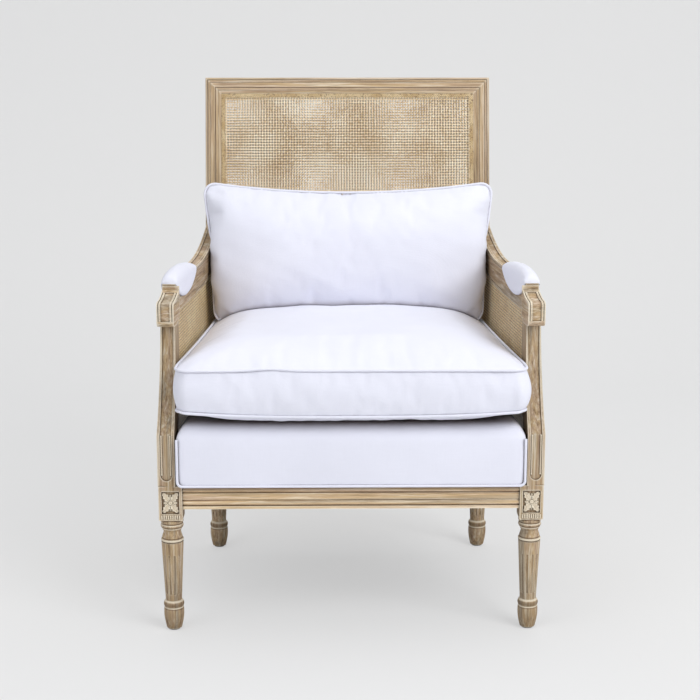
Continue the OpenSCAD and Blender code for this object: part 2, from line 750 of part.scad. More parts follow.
// Inside of the seat frame in plan, between the inner faces of the rails
module seat_inside(out = 0) {
    function side_x(y) = (front_x - y * tan(side_angle)) - side_rail_in / cos(side_angle) + out;
    y0 = front_rail_y + front_rail_t - out;
    y1 = rear_rail_y + out;
    polygon([[-side_x(y0), y0], [side_x(y0), y0], [side_x(y1), y1], [-side_x(y1), y1]]);
}
module block_plan(gap) {
    for (x = [-1, 1]) {
        translate([x * front_x, 0]) square(block + 2 * gap, center = true);
        translate([x * rear_x, leg_depth]) square(block + 2 * gap, center = true);
    }
}
corner_reach = 88;
corner_h = 30;
corner_z = rail_z + 6;
screw_r = 2.5;
screw_l = 46;
screw_head_r = 5;
module corner_blocks() {
    color(oak_dark) chair() difference() {
        translate([0, 0, corner_z]) linear_extrude(corner_h) intersection() {
            difference() {
                seat_inside(-0.1);
                block_plan(0.1);
            }
            union() for (x = [-1, 1]) {
                for (spot = [[x * front_x, 0], [x * rear_x, leg_depth]])
                    translate(spot) rotate([0, 0, 45]) square(corner_reach * sqrt(2), center = true);
            }
        }
        for (x = [0, 1]) mirror([x, 0, 0]) {
            corner_screw_front(screw_r + fit_gap);
            corner_screw_rear(screw_r + fit_gap);
        }
    }
}
// A screw through each corner block into the leg, from the inside, on the diagonal
module corner_screw(r, head = false) {
    z = corner_z + corner_h / 2;
    face = corner_reach / sqrt(2);
    translate([0, 0, z]) rotate([90, 0, 0]) {
        translate([0, 0, face - screw_l]) cylinder(h = screw_l + 0.05, r = r, $fn = 24);
        if (head) translate([0, 0, face + 0.05]) cylinder(h = 3, r = screw_head_r, $fn = 24);
    }
}
module corner_screw_front(r, head = false) {
    translate([-front_x, 0, 0]) rotate([0, 0, 135]) corner_screw(r, head);
}
module corner_screw_rear(r, head = false) {
    translate([-rear_x, leg_depth, 0]) rotate([0, 0, 45]) corner_screw(r, head);
}
module corner_screws() {
    color(steel) chair() for (x = [0, 1]) mirror([x, 0, 0]) {
        corner_screw_front(screw_r, true);
        corner_screw_rear(screw_r, true);
    }
}
glide_pin_r = 1.5;
glide_pin_l = 14;
module foot_glides() {
    color(steel) chair() for (x = [-1, 1], y = [0, leg_depth])
        translate([x * (y == 0 ? front_x : rear_x), y, 0]) {
            cylinder(h = glide_h, r = glide_r, $fn = 48);
            cylinder(h = glide_h + glide_pin_l - 0.5, r = glide_pin_r, $fn = 24);
        }
}

// Webbing: straps across on the side rails, straps from front to rear over them
strap_w = 50;
strap_t = 1.8;
straps_across = 5;
straps_along = 6;
module seat_webbing() {
    y0 = half_block + 22;
    y1 = rear_face - 22;
    x1 = rear_x - half_block - 2;
    color(jute) chair() {
        for (i = [0 : straps_across - 1]) let (
            y = mix(y0 + strap_w / 2, y1 - strap_w / 2, i / (straps_across - 1)),
            half = front_x - (y + strap_w / 2) * tan(side_angle) - side_cane_in - reed - 0.4)
            translate([-half, y - strap_w / 2, rail_top]) cube([2 * half, strap_w, strap_t]);
        for (i = [0 : straps_along - 1])
            let (x = mix(strap_w / 2 - x1, x1 - strap_w / 2, i / (straps_along - 1)))
            translate([x - strap_w / 2, front_rail_y + 8, rail_top + strap_t])
                cube([strap_w, rear_rail_y + rail_t - 8 - front_rail_y - 8, strap_t]);
    }
}
cloth_t = 0.8;
module dust_cover() {
    color("#4a4a4c") chair() translate([0, 0, rail_z - cloth_t]) linear_extrude(cloth_t) difference() {
        seat_inside(14);
        block_plan(1);
    }
}

// A closed skin through rings of equally many points, with a centre point at each end
module skin(rings, low, high) {
    n = len(rings[0]);
    m = len(rings);
    pts = concat([low], [for (r = rings) each r], [high]);
    last = len(pts) - 1;
    function at(i, j) = 1 + i * n + (j + n) % n;
    faces = concat(
        [for (j = [0 : n - 1]) [0, at(0, j), at(0, j + 1)]],
        [for (i = [0 : m - 2], j = [0 : n - 1]) [at(i, j), at(i + 1, j), at(i, j + 1)]],
        [for (i = [0 : m - 2], j = [0 : n - 1]) [at(i + 1, j), at(i + 1, j + 1), at(i, j + 1)]],
        [for (j = [0 : n - 1]) [last, at(m - 1, j + 1), at(m - 1, j)]]);
    polyhedron(points = pts, faces = faces);
}
// A closed loop of tube whose section is laid out from a centre and an outward direction at each point
module tube_loop(centres, outs, ups, r, sides = 6) {
    n = len(centres);
    pts = [for (i = [0 : n - 1], k = [0 : sides - 1]) let (a = 360 * k / sides)
        centres[i] + r * (cos(a) * outs[i] + sin(a) * ups[i])];
    function at(i, k) = ((i + n) % n) * sides + (k + sides) % sides;
    polyhedron(points = pts, faces = [for (i = [0 : n - 1], k = [0 : sides - 1]) each
        [[at(i, k), at(i, k + 1), at(i + 1, k)], [at(i, k + 1), at(i + 1, k + 1), at(i + 1, k)]]]);
}
// A rounded rectangle, anticlockwise, with points along its sides
function ring_plan(a, b, r, m = 4, e = 8) = [for (q = [0 : 3]) let (
    sx = (q == 0 || q == 3) ? 1 : -1, sy = q < 2 ? 1 : -1,
    nx = (q == 3 || q == 2) ? 1 : -1, ny = (q == 0 || q == 3) ? 1 : -1,
    c = [sx * (a - r), sy * (b - r)], a1 = 90 * q + 90,
    p = c + r * [cos(a1), sin(a1)],
    c2 = [nx * (a - r), ny * (b - r)], p2 = c2 + r * [cos(a1), sin(a1)])
    each concat(
        [for (k = [0 : m]) c + r * [cos(90 * q + 90 * k / m), sin(90 * q + 90 * k / m)]],
        [for (k = [1 : e - 1]) mix(p, p2, k / e)])];
function unit(v) = v / norm(v);
// Outward normals of a closed plan
function plan_normals(p) = let (n = len(p)) [for (i = [0 : n - 1])
    let (t = p[(i + 1) % n] - p[(i + n - 1) % n]) unit([t[1], -t[0]])];

// Plan of the seat cushion: narrows with the sides of the chair and draws in between its corners
seat_mid = cushion_depth / 2 - cushion_front;
seat_half = front_x - post_in - 4.5;
function seat_plan() = [for (p = ring_plan(seat_half, cushion_depth / 2, 26)) let (
    y = p[1] + seat_mid, u = p[0] / seat_half, v = 2 * p[1] / cushion_depth,
    w = seat_half - max(0, y) * tan(side_angle))
    [u * w - sign(u) * draw_in * abs(u) * (1 - v * v) * 0.7, y - sign(v) * draw_in * abs(v) * (1 - u * u)]];
seat_low = cushion_pipe_z - border_h;
function low_z(p) = seat_low + corner_lift * pow(abs(p[0]) / seat_half, 3)
    * pow(2 * abs(p[1] - seat_mid) / cushion_depth, 8);
deck_top = rail_top + deck_h;
function toward(p, c, t) = c + (p - c) * t;
function lift(ring, z) = [for (p = ring) [p[0], p[1], z]];
crown_steps = [0.3, 0.55, 0.75, 0.88, 0.96];
module seat_form() {
    plan = seat_plan();
    c = [0, seat_mid];
    n = plan_normals(plan);
    function crown(t, y) = seat_crown * pow(1 - pow(t, 2.4), 0.75)
        * (1 - 0.16 * pow(max(0, (y - seat_mid)) / 250, 2));
    function under(t, p) = max(deck_top + soft_gap, low_z(p) - seat_belly * pow(1 - pow(t, 2.4), 0.75));
    low = [for (t = crown_steps) [for (p = plan) let (q = toward(p, c, t)) [q[0], q[1], under(t, p)]]];
    high = [for (k = [len(crown_steps) - 1 : -1 : 0]) let (t = crown_steps[k])
        [for (p = plan) let (q = toward(p, c, t)) [q[0], q[1], cushion_pipe_z + crown(t, q[1])]]];
    border = [for (v = [0, 0.3, 0.7, 1]) [for (i = [0 : len(plan) - 1]) let (p = plan[i],
        b = (p[1] < 0 && abs(p[0]) < seat_half - 8 ? 6 : p[1] < -24 ? 5 : 2) * sin(180 * v))
        [p[0] + n[i][0] * b, p[1] + n[i][1] * b, mix(low_z(p), cushion_pipe_z, v)]]];
    skin(concat(low, border, high), [0, seat_mid, deck_top + soft_gap],
        [0, seat_mid, cushion_pipe_z + seat_crown]);
}
module seat_cushion() {
    color(linen) chair() seat_form();
}
module seat_cushion_piping() {
    plan = seat_plan();
    n = plan_normals(plan);
    d = (pipe_r + soft_gap) * sqrt(0.5);
    color(linen) chair() for (top = [0, 1]) let (s = top == 1 ? 1 : -1)
        tube_loop([for (i = [0 : len(plan) - 1]) [plan[i][0] + n[i][0] * d, plan[i][1] + n[i][1] * d,
            (top == 1 ? cushion_pipe_z : low_z(plan[i])) + s * d]],
            [for (v = n) [v[0], v[1], 0]], [for (v = n) [0, 0, 1]], pipe_r);
}

// Back cushion, in the back's own frame: x across, z up the lean, y into the back
pillow_mid = pillow_up + pillow_h / 2;
// The cushion is squeezed between the arms and spreads above them
pillow_arm_h = (arm_top - rail_top) / cos(rake);
pillow_arm_y = rear_face - pillow_back * cos(rake) + pillow_arm_h * sin(rake);
pillow_waist = front_x - arm_in / cos(side_angle) - pillow_arm_y * tan(side_angle)
    - 2 * pipe_r - 4 * soft_gap;
pillow_free = 2 * (pillow_arm_h + 4 - pillow_mid) / pillow_h;
function pillow_plan() = [for (p = ring_plan(pillow_w / 2, pillow_h / 2, pillow_r)) let (
    u = 2 * p[0] / pillow_w, v = 2 * p[1] / pillow_h, over = max(0, (v - pillow_free) / (1 - pillow_free)),
    w = v > pillow_free ? mix(pillow_waist, pillow_w / 2, over)
        : mix(pillow_foot / 2, pillow_waist, (v + 1) / (pillow_free + 1)))
    [u * w, p[1] - (v > 0 ? pillow_dip * v * v * (1 - u * u) : 0)]];
module pillow_form() {
    plan = pillow_plan();
    front = [for (t = crown_steps) [for (p = plan)
        [p[0] * t, -pillow_back - pillow_crown * pow(1 - pow(t, 2.2), 0.7), pillow_mid + p[1] * t]]];
    rear_crown = pillow_back + 14;
    rear = [for (k = [len(crown_steps) - 1 : -1 : 0]) let (t = crown_steps[k],
        y = min(-soft_gap, rear_crown * pow(1 - pow(t, 2.2), 0.7) - pillow_back))
        [for (p = plan) [p[0] * t, y, pillow_mid + p[1] * t]]];
    seam = [[for (p = plan) [p[0], -pillow_back, pillow_mid + p[1]]]];
    lean() skin(concat(front, seam, rear), [0, -pillow_back - pillow_crown, pillow_mid],
        [0, -soft_gap, pillow_mid]);
}
module back_cushion() {
    color(linen) chair() difference() {
        pillow_form();
        translate([0, 0, soft_gap]) seat_form();
    }
}
module back_cushion_piping() {
    plan = pillow_plan();
    n = plan_normals(plan);
    d = pipe_r + soft_gap;
    color(linen) chair() difference() {
        lean() tube_loop([for (i = [0 : len(plan) - 1])
            [plan[i][0] + n[i][0] * d, -pillow_back, pillow_mid + plan[i][1] + n[i][1] * d]],
            [for (v = n) [v[0], 0, v[1]]], [for (v = n) [0, 1, 0]], pipe_r);
        translate([0, 0, soft_gap]) seat_form();
    }
}

// Deck: upholstered on the seat frame, between the arm posts
deck_gap = 0.5;
deck_half = front_x - post_in - 1.5;
deck_low = rail_top + 2 * strap_t + 0.4;
deck_rear = rear_face - 1;
module seat_deck() {
    mid = (deck_rear - deck_front) / 2;
    half = (deck_rear + deck_front) / 2;
    plan = [for (p = ring_plan(deck_half, half, 6, 3, 8)) let (y = p[1] + mid,
        w = min(deck_half, front_x - post_in / cos(side_angle) - deck_gap - y * tan(side_angle)))
        [p[0] / deck_half * w, y]];
    c = [0, mid];
    edge_z = rail_top + deck_edge;
    rise = deck_top - edge_z;
    high = [for (k = [0 : 4]) let (t = [0.99, 0.965, 0.93, 0.85, 0.6][k], z = [0.3, 0.62, 0.82, 0.95, 1][k])
        [for (p = plan) let (q = toward(p, c, t)) [q[0], q[1], edge_z + rise * z]]];
    color(linen) chair() skin(concat([lift(plan, deck_low), lift(plan, edge_z)], high),
        [0, mid, deck_low], [0, mid, deck_top]);
}
module deck_piping() {
    r = deck_pipe_r;
    bend = 9;
    x = deck_half - 1.3;
    z = rail_top + r + 0.5;
    h = rail_top + deck_edge - 4 - z - bend;
    color(linen) chair() translate([0, -deck_front - r + 0.05, 0]) {
        for (s = [-1, 1]) {
            translate([s * x, 0, z + bend]) cylinder(h = h, r = r, $fn = 24);
            translate([s * (x - bend), 0, z + bend]) rotate([90, 0, 0]) rotate([0, 0, s > 0 ? 270 : 180])
                rotate_extrude(angle = 90, $fn = 48) translate([bend, 0]) circle(r, $fn = 24);
        }
        translate([bend - x, 0, z]) rotate([0, 90, 0]) cylinder(h = 2 * (x - bend), r = r, $fn = 24);
    }
}

// Arm pad: a saddle over the arm, crowned along its length, with a half-moon flap down each side
pad_crown = 17;
pad_wall = 5.2;
flap_drop = 34;
module arm_pad(side) {
    out = arm_out + soft_gap;
    into = arm_in + soft_gap;
    s0 = scroll_back + 0.4;
    steps = 14;
    stations = [for (i = [0 : steps]) let (t = i / steps,
        crown = 5 + pad_crown * pow(sin(180 * pow(t, 0.62)), 0.6),
        wall = 1.6 + (pad_wall - 1.6) * pow(sin(180 * t), 0.4),
        drop = 5 + (flap_drop - 5) * pow(sin(180 * pow(t, 0.85)), 0.8),
        mid = (into - out) / 2, half = (out + into) / 2 + wall, top = arm_top + soft_gap)
        [for (p = concat(
            [[-out - 0.3, arm_top - drop], [-out - wall * 0.8, arm_top - drop + 2]],
            [for (k = [0 : 8])
                [mid - half * cos(22.5 * k), arm_top - 3 + (crown + 3) * pow(sin(22.5 * k), 0.7)]],
            [[into + wall * 0.8, arm_top - drop + 2], [into + 0.3, arm_top - drop],
                [into, top], [-out, top]]))
            [p[0], s0 + (pad_end - s0) * t, p[1]]]];
    n = len(stations[0]);
    m = steps + 1;
    centre = [(into - out) / 2, 0, arm_top + 3];
    function at(i, j) = i * n + (j + n) % n;
    pts = [for (r = stations) each r];
    faces = concat(
        [for (i = [0 : m - 2], j = [0 : n - 1]) [at(i, j), at(i, j + 1), at(i + 1, j)]],
        [for (i = [0 : m - 2], j = [0 : n - 1]) [at(i, j + 1), at(i + 1, j + 1), at(i + 1, j)]],
        [[for (j = [n - 1 : -1 : 0]) at(0, j)], [for (j = [0 : n - 1]) at(m - 1, j)]]);
    color(linen) handed(side) side_line() polyhedron(points = pts, faces = faces);
}

front_post(left);  // front_post_left
front_post(right);  // front_post_right
rear_post(left);  // rear_post_left
rear_post(right);  // rear_post_right
crest_rail();
back_lower_rail();
front_seat_rail();
rear_seat_rail();
side_seat_rail(left);  // side_seat_rail_left
side_seat_rail(right);  // side_seat_rail_right
arm(left);  // arm_left
arm(right);  // arm_right
arm_dowels();
corner_blocks();
corner_screws();
foot_glides();
back_cane_front();
back_cane_rear();
back_spline_front();
back_spline_rear();
side_cane(left);  // side_cane_left
side_cane(right);  // side_cane_right
side_reed(left);  // side_reed_left
side_reed(right);  // side_reed_right
seat_webbing();
dust_cover();
seat_deck();
deck_piping();
arm_pad(left);  // arm_pad_left
arm_pad(right);  // arm_pad_right
seat_cushion();
seat_cushion_piping();
back_cushion();
back_cushion_piping();
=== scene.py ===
"""Square-backed cane armchair: woven cane, linen upholstery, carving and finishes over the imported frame."""

import logging
import math
from dataclasses import dataclass, field, replace
from enum import Enum
from itertools import chain
from typing import Callable, Iterable, Sequence

import bpy
import numpy as np
from mathutils import Euler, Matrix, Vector
from mathutils.bvhtree import BVHTree
from mathutils.kdtree import KDTree


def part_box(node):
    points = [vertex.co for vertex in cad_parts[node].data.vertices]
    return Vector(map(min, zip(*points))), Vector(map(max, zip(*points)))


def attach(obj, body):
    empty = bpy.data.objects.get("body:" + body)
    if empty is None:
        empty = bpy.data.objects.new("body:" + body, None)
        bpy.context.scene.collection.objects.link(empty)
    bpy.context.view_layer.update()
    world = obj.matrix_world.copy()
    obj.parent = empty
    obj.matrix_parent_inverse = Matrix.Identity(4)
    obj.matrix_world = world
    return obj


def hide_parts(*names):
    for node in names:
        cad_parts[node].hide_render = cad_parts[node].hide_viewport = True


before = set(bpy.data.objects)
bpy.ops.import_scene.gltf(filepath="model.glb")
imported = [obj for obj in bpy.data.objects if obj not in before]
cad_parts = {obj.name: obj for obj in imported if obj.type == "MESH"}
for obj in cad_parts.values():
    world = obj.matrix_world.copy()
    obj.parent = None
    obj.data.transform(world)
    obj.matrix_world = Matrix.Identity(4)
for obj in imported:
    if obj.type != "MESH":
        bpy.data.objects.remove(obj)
log = logging.getLogger("armchair")

Triple = tuple[float, float, float]
Colour = Triple
Mesh = tuple[np.ndarray, list[list[int]]]
Piece = bpy.types.Object
Finish = bpy.types.Material
Socket = bpy.types.NodeSocket

GLIDE_RADIUS = 0.0105
TINY = 1e-9
TUBE_SIDES = 10
SETTLE_FRAMES = 20
RIPPLE_WAVES = 7
GATHER_WAVES = 5
BANDS_AT_SCALE_ONE = 0.3141593  # length of one band of the wave texture, in metres
HIDDEN_SAMPLES = 6  # rays for each occlusion node


class Grain(Enum):
    """Way that the grain of a timber runs."""

    ACROSS = "x"
    ALONG_SEAT = "y"
    ARM = "arm"
    UPRIGHT = "z"
    LEANING = "lean"
    SEAT_RAIL = "seat_rail"
    CARVED = "carved"


class Side(Enum):
    """Left or right of the chair, seen from the front; the value is the sign of x."""

    LEFT = -1
    RIGHT = 1


# ---- shared plan -------------------------------------------------------------------------------


@dataclass(frozen=True)
class ChairPlan:
    """Sizes that the pieces share, in metres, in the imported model's frame."""

    front_x: float = 0.3285
    rear_x: float = 0.277
    leg_depth: float = 0.464
    half_block: float = 0.0215
    stile: float = 0.043
    rail_top: float = 0.280
    back_top: float = 0.988
    rake: float = math.radians(12.0)
    side_angle: float = math.atan(42.8 / 464.0)
    shift_y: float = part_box("foot_glides")[0][1] + GLIDE_RADIUS

    @property
    def rear_face(self) -> float:
        """Front plane of the back at the height of the seat rails, from the front leg axes."""
        return self.leg_depth - self.half_block

    @property
    def back_length(self) -> float:
        """Height of the back frame along its lean."""
        return (self.back_top - self.rail_top) / math.cos(self.rake)

    @property
    def back_open(self) -> float:
        """Half width of the opening in the back frame."""
        return self.rear_x + self.half_block - self.stile

    @property
    def back_open_top(self) -> float:
        """Height of the top of that opening, up the lean from the seat rails."""
        return self.back_length - self.stile

    def lean(self, x: np.ndarray, depth: np.ndarray, up: np.ndarray) -> np.ndarray:
        """Turns places on the leaning back into the frame.

        Args:
            x: Distance across, to the right.
            depth: Distance into the back from its front plane.
            up: Distance up the lean from the seat rails.

        Returns:
            Points as rows of x, y, z.
        """
        x, depth, up = np.broadcast_arrays(x, depth, up)
        y = self.rear_face + depth * math.cos(self.rake) + up * math.sin(self.rake)
        z = self.rail_top - depth * math.sin(self.rake) + up * math.cos(self.rake)
        return np.stack([x, y + self.shift_y, z], -1).reshape(-1, 3)

    def side(self, side: Side, inward: np.ndarray, back: np.ndarray, z: np.ndarray) -> np.ndarray:
        """Turns places beside the seat into the frame.

        Args:
            side: Which side of the chair.
            inward: Distance towards the middle of the chair from the side line.
            back: Distance to the rear along the side line from the front leg.
            z: Height.

        Returns:
            Points as rows of x, y, z.
        """
        inward, back, z = np.broadcast_arrays(inward, back, z)
        cos, sin = math.cos(self.side_angle), math.sin(self.side_angle)
        x = -self.front_x + back * sin + inward * cos
        y = back * cos - inward * sin
        return np.stack([x * -side.value, y + self.shift_y, z], -1).reshape(-1, 3)

    def flat(self, x: np.ndarray, y: np.ndarray, z: np.ndarray) -> np.ndarray:
        """Turns places measured from the front leg axes into the frame."""
        x, y, z = np.broadcast_arrays(x, y, z)
        return np.stack([x, y + self.shift_y, z], -1).reshape(-1, 3)


PLAN = ChairPlan()


# ---- mesh helpers ------------------------------------------------------------------------------


def build_mesh(name: str, points: np.ndarray, faces: Sequence[Sequence[int]],
               smooth: bool = True) -> Piece:
    """Makes an object from points and faces and links it to the scene.

    Args:
        name: Name of the piece.
        points: Points as rows of x, y, z.
        faces: Corner numbers of each face.
        smooth: Whether the faces shade smoothly.

    Returns:
        The new object, at the origin.
    """
    mesh = bpy.data.meshes.new(name)
    sizes = np.array([len(face) for face in faces])
    corners = np.array(list(chain.from_iterable(faces)), np.int32)
    starts = np.concatenate([[0], np.cumsum(sizes)[:-1]]).astype(np.int32)
    mesh.vertices.add(len(points))
    mesh.vertices.foreach_set("co", np.asarray(points, np.float32).ravel())
    mesh.loops.add(len(corners))
    mesh.loops.foreach_set("vertex_index", corners)
    mesh.polygons.add(len(sizes))
    mesh.polygons.foreach_set("loop_start", starts)
    mesh.polygons.foreach_set("use_smooth", np.full(len(sizes), smooth))
    mesh.update(calc_edges=True)
    piece = bpy.data.objects.new(name, mesh)
    bpy.context.scene.collection.objects.link(piece)
    return piece


def points_of(piece: Piece, what: str = "co") -> np.ndarray:
    """Reads the points of a mesh object.

    Args:
        piece: Object to read.
        what: "co" for the places of the points, or "normal" for the ways that they face.

    Returns:
        Rows of x, y, z.
    """
    flat = np.empty(len(piece.data.vertices) * 3)
    piece.data.vertices.foreach_get(what, flat)
    return flat.reshape(-1, 3)


def set_points(piece: Piece, points: np.ndarray) -> None:
    """Puts new places into the points of a mesh object."""
    piece.data.vertices.foreach_set("co", np.asarray(points, float).ravel())
    piece.data.update()


def strip_faces(rows: int, columns: int, closed_rows: bool = False, closed_columns: bool = False,
                start: int = 0, flip: bool = False) -> list[list[int]]:
    """Faces of a grid of points stored row by row.

    Args:
        rows: Number of rows of points.
        columns: Number of points in a row.
        closed_rows: Whether the last row joins the first.
        closed_columns: Whether each row closes on itself.
        start: Number of the grid's first point.
        flip: Whether the faces turn the other way.

    Returns:
        Four corner numbers for each face.
    """
    faces = []
    for i in range(rows if closed_rows else rows - 1):
        here, above = i * columns, (i + 1) % rows * columns
        for j in range(columns if closed_columns else columns - 1):
            beside = (j + 1) % columns
            face = [start + k for k in (here + j, here + beside, above + beside, above + j)]
            faces.append(face[::-1] if flip else face)
    return faces


def wall_faces(rings: Sequence[np.ndarray]) -> list[list[int]]:
    """Faces that join closed rings of points, each to the next.

    Args:
        rings: Point numbers of each ring, from the lowest ring up.

    Returns:
        Four corner numbers for each face.
    """
    faces = []
    for low, high in zip(rings, rings[1:]):
        faces += np.column_stack([low, np.roll(low, -1), np.roll(high, -1), high]).tolist()
    return faces


def merged(parts: Iterable[Mesh]) -> Mesh:
    """Joins several meshes into one.

    Args:
        parts: Points and faces of each mesh.

    Returns:
        All the points, and the faces renumbered to them.
    """
    points, faces, base = [], [], 0
    for spots, corners in parts:
        points.append(spots)
        faces += [[base + k for k in face] for face in corners]
        base += len(spots)
    return np.vstack(points), faces


def _twist(a: np.ndarray, b: np.ndarray, axis: np.ndarray) -> float:
    """Angle that turns a onto b about an axis."""
    return math.atan2(float(np.dot(np.cross(a, b), axis)), float(np.dot(a, b)))


def _turned(v: np.ndarray, axis: np.ndarray, angle: float) -> np.ndarray:
    """A direction turned about an axis that it is square to."""
    return v * math.cos(angle) + np.cross(axis, v) * math.sin(angle)


def tube(name: str, path: np.ndarray, radius: float, closed: bool) -> Piece:
    """Makes a tube along a path.

    Args:
        name: Name of the piece.
        path: Points along the middle of the tube.
        radius: Radius of the tube.
        closed: Whether the path closes on itself.

    Returns:
        The new object.
    """
    along = np.roll(path, -1, 0) - np.roll(path, 1, 0) if closed else np.gradient(path, axis=0)
    along /= np.linalg.norm(along, axis=1)[:, None] + TINY
    up = np.zeros_like(path)
    reference = np.array([0.0, 0.0, 1.0]) if abs(along[0][2]) < 0.9 else np.array([0.0, 1.0, 0.0])
    for i, t in enumerate(along):
        reference = reference - t * np.dot(reference, t)
        reference /= np.linalg.norm(reference)
        up[i] = reference
    if closed:
        drift = _twist(up[-1], up[0], along[0])
        for i in range(len(path)):
            up[i] = _turned(up[i], along[i], drift * i / len(path))
    side = np.cross(along, up)
    angles = np.linspace(0, 2 * np.pi, TUBE_SIDES, endpoint=False)[None, :, None]
    ring = path[:, None] + radius * (np.cos(angles) * side[:, None] + np.sin(angles) * up[:, None])
    faces = strip_faces(len(path), TUBE_SIDES, closed_rows=closed, closed_columns=True)
    if not closed:
        last = (len(path) - 1) * TUBE_SIDES
        faces += [list(range(TUBE_SIDES))[::-1], list(range(last, last + TUBE_SIDES))]
    return build_mesh(name, ring.reshape(-1, 3), faces)


def unit_grid(columns: int, rows: int) -> tuple[np.ndarray, np.ndarray]:
    """Places across and up a grid of squares, each from -1 to 1."""
    return tuple(np.meshgrid(np.linspace(-1, 1, columns + 1), np.linspace(-1, 1, rows + 1)))


def rounded_grid(columns: int, rows: int, half_w: float, half_h: float, radius: float) -> np.ndarray:
    """A grid of squares drawn out to a rectangle with rounded corners.

    Args:
        columns: Number of squares across.
        rows: Number of squares up.
        half_w: Half width of the rectangle.
        half_h: Half height of the rectangle.
        radius: Radius of its corners.

    Returns:
        Places as an array of rows, columns and (x, y).
    """
    a, b = unit_grid(columns, rows)
    ring = np.maximum(np.abs(a), np.abs(b))
    r = radius * ring ** 2 + TINY
    x, y = np.abs(a) * half_w, np.abs(b) * half_h
    cx, cy = ring * half_w - r, ring * half_h - r
    ex, ey = (x - cx) / r, (y - cy) / r
    corner = (ex > 0) & (ey > 0) & (ring > 0)
    angle = np.where(ey >= ex, np.pi / 2 - np.pi / 4 * ex / np.maximum(ey, TINY),
                     np.pi / 4 * ey / np.maximum(ex, TINY))
    x = np.where(corner, cx + r * np.cos(angle), x)
    y = np.where(corner, cy + r * np.sin(angle), y)
    return np.stack([np.sign(a) * x, np.sign(b) * y], -1)


def border_of(columns: int, rows: int) -> np.ndarray:
    """Finds the points on a grid's border.

    Args:
        columns: Number of squares across.
        rows: Number of squares up.

    Returns:
        Their numbers, anticlockwise from the lower left corner.
    """
    wide = columns + 1
    low = list(range(columns))
    right = [i * wide + columns for i in range(rows)]
    high = [rows * wide + columns - j for j in range(columns)]
    left = [(rows - i) * wide for i in range(rows)]
    return np.array(low + right + high + left)


def outward(edge: np.ndarray) -> np.ndarray:
    """Directions that point out of a closed line, square to it.

    Args:
        edge: Places (x, y) along the line, anticlockwise from above.

    Returns:
        One unit direction for each place.
    """
    ahead = np.roll(edge, -1, 0) - np.roll(edge, 1, 0)
    normal = np.column_stack([ahead[:, 1], -ahead[:, 0]])
    return normal / np.linalg.norm(normal, axis=1)[:, None]


def settle(piece: Piece, seams: Iterable[int], pressure: float, slack: float, most: float,
           stiffness: float = 12.0) -> None:
    """Lets a filled cover swell between its seams as cloth does, and keeps the result in its mesh.

    Args:
        piece: Cover to settle.
        seams: Numbers of the points that the seams hold.
        pressure: Push of the filling.
        slack: Share by which the cover is cut larger than its drawn shape.
        most: Farthest that a point may move.
        stiffness: Resistance of the cloth to stretch.
    """
    before = points_of(piece)
    group = piece.vertex_groups.new(name="seams")
    group.add([int(i) for i in seams], 1.0, "REPLACE")
    cloth = piece.modifiers.new("cover", "CLOTH")
    cloth.settings.quality = 6
    cloth.settings.mass = 0.25
    cloth.settings.tension_stiffness = stiffness
    cloth.settings.compression_stiffness = stiffness
    cloth.settings.shear_stiffness = stiffness * 0.4
    cloth.settings.bending_stiffness = 0.6
    cloth.settings.use_pressure = True
    cloth.settings.uniform_pressure_force = pressure
    cloth.settings.vertex_group_mass = "seams"
    cloth.settings.shrink_min = -slack
    cloth.settings.effector_weights.gravity = 0.0
    cloth.collision_settings.use_collision = False
    cloth.collision_settings.use_self_collision = False
    cloth.point_cache.frame_start = 1
    cloth.point_cache.frame_end = SETTLE_FRAMES
    for step in range(1, SETTLE_FRAMES + 1):
        bpy.context.scene.frame_set(step)
    seen = piece.evaluated_get(bpy.context.evaluated_depsgraph_get())
    moved = points_of(seen) - before
    length = np.linalg.norm(moved, axis=1)
    moved *= (np.minimum(length, most) / np.maximum(length, TINY))[:, None]
    piece.modifiers.remove(cloth)
    piece.vertex_groups.remove(group)
    bpy.context.scene.frame_set(1)
    set_points(piece, before + moved)


def refine(piece: Piece, seams: Iterable[np.ndarray] = ()) -> None:
    """Subdivides a piece once and keeps the result in its mesh.

    Args:
        piece: Piece to subdivide.
        seams: Numbers of the points along each seam, which stays where it is.
    """
    label = np.zeros(len(piece.data.vertices), int)
    for k, seam in enumerate(seams, 1):
        label[seam] = k
    ends = np.empty(2 * len(piece.data.edges), int)
    piece.data.edges.foreach_get("vertices", ends)
    a, b = label[ends.reshape(-1, 2)].T
    crease = piece.data.attributes.new("crease_edge", "FLOAT", "EDGE")
    crease.data.foreach_set("value", ((a == b) & (a > 0)).astype(np.float32))
    smooth = piece.modifiers.new("refine", "SUBSURF")
    smooth.levels = smooth.render_levels = 1
    seen = piece.evaluated_get(bpy.context.evaluated_depsgraph_get())
    mesh = bpy.data.meshes.new_from_object(seen)
    piece.modifiers.clear()
    old, piece.data = piece.data, mesh
    bpy.data.meshes.remove(old)


def ripple(points: np.ndarray, size: float, seed: float) -> np.ndarray:
    """Smooth random hollows and rises.

    Args:
        points: Points to give a value to.
        size: Rough size of a hollow.
        seed: Start of the random numbers.

    Returns:
        A value for each point, from about -1 to 1.
    """
    k = 2 * np.pi / size
    total = np.zeros(len(points))
    rng = np.random.default_rng(int(seed * 1000))
    for _ in range(RIPPLE_WAVES):
        way = rng.normal(size=3)
        way /= np.linalg.norm(way)
        total += np.sin(points @ (way * k * rng.uniform(0.6, 1.5)) + rng.uniform(0, 6.28))
    return total / 4.0


def dress(piece: Piece, finish: Finish) -> None:
    """Gives a piece one material."""
    piece.data.materials.clear()
    piece.data.materials.append(finish)


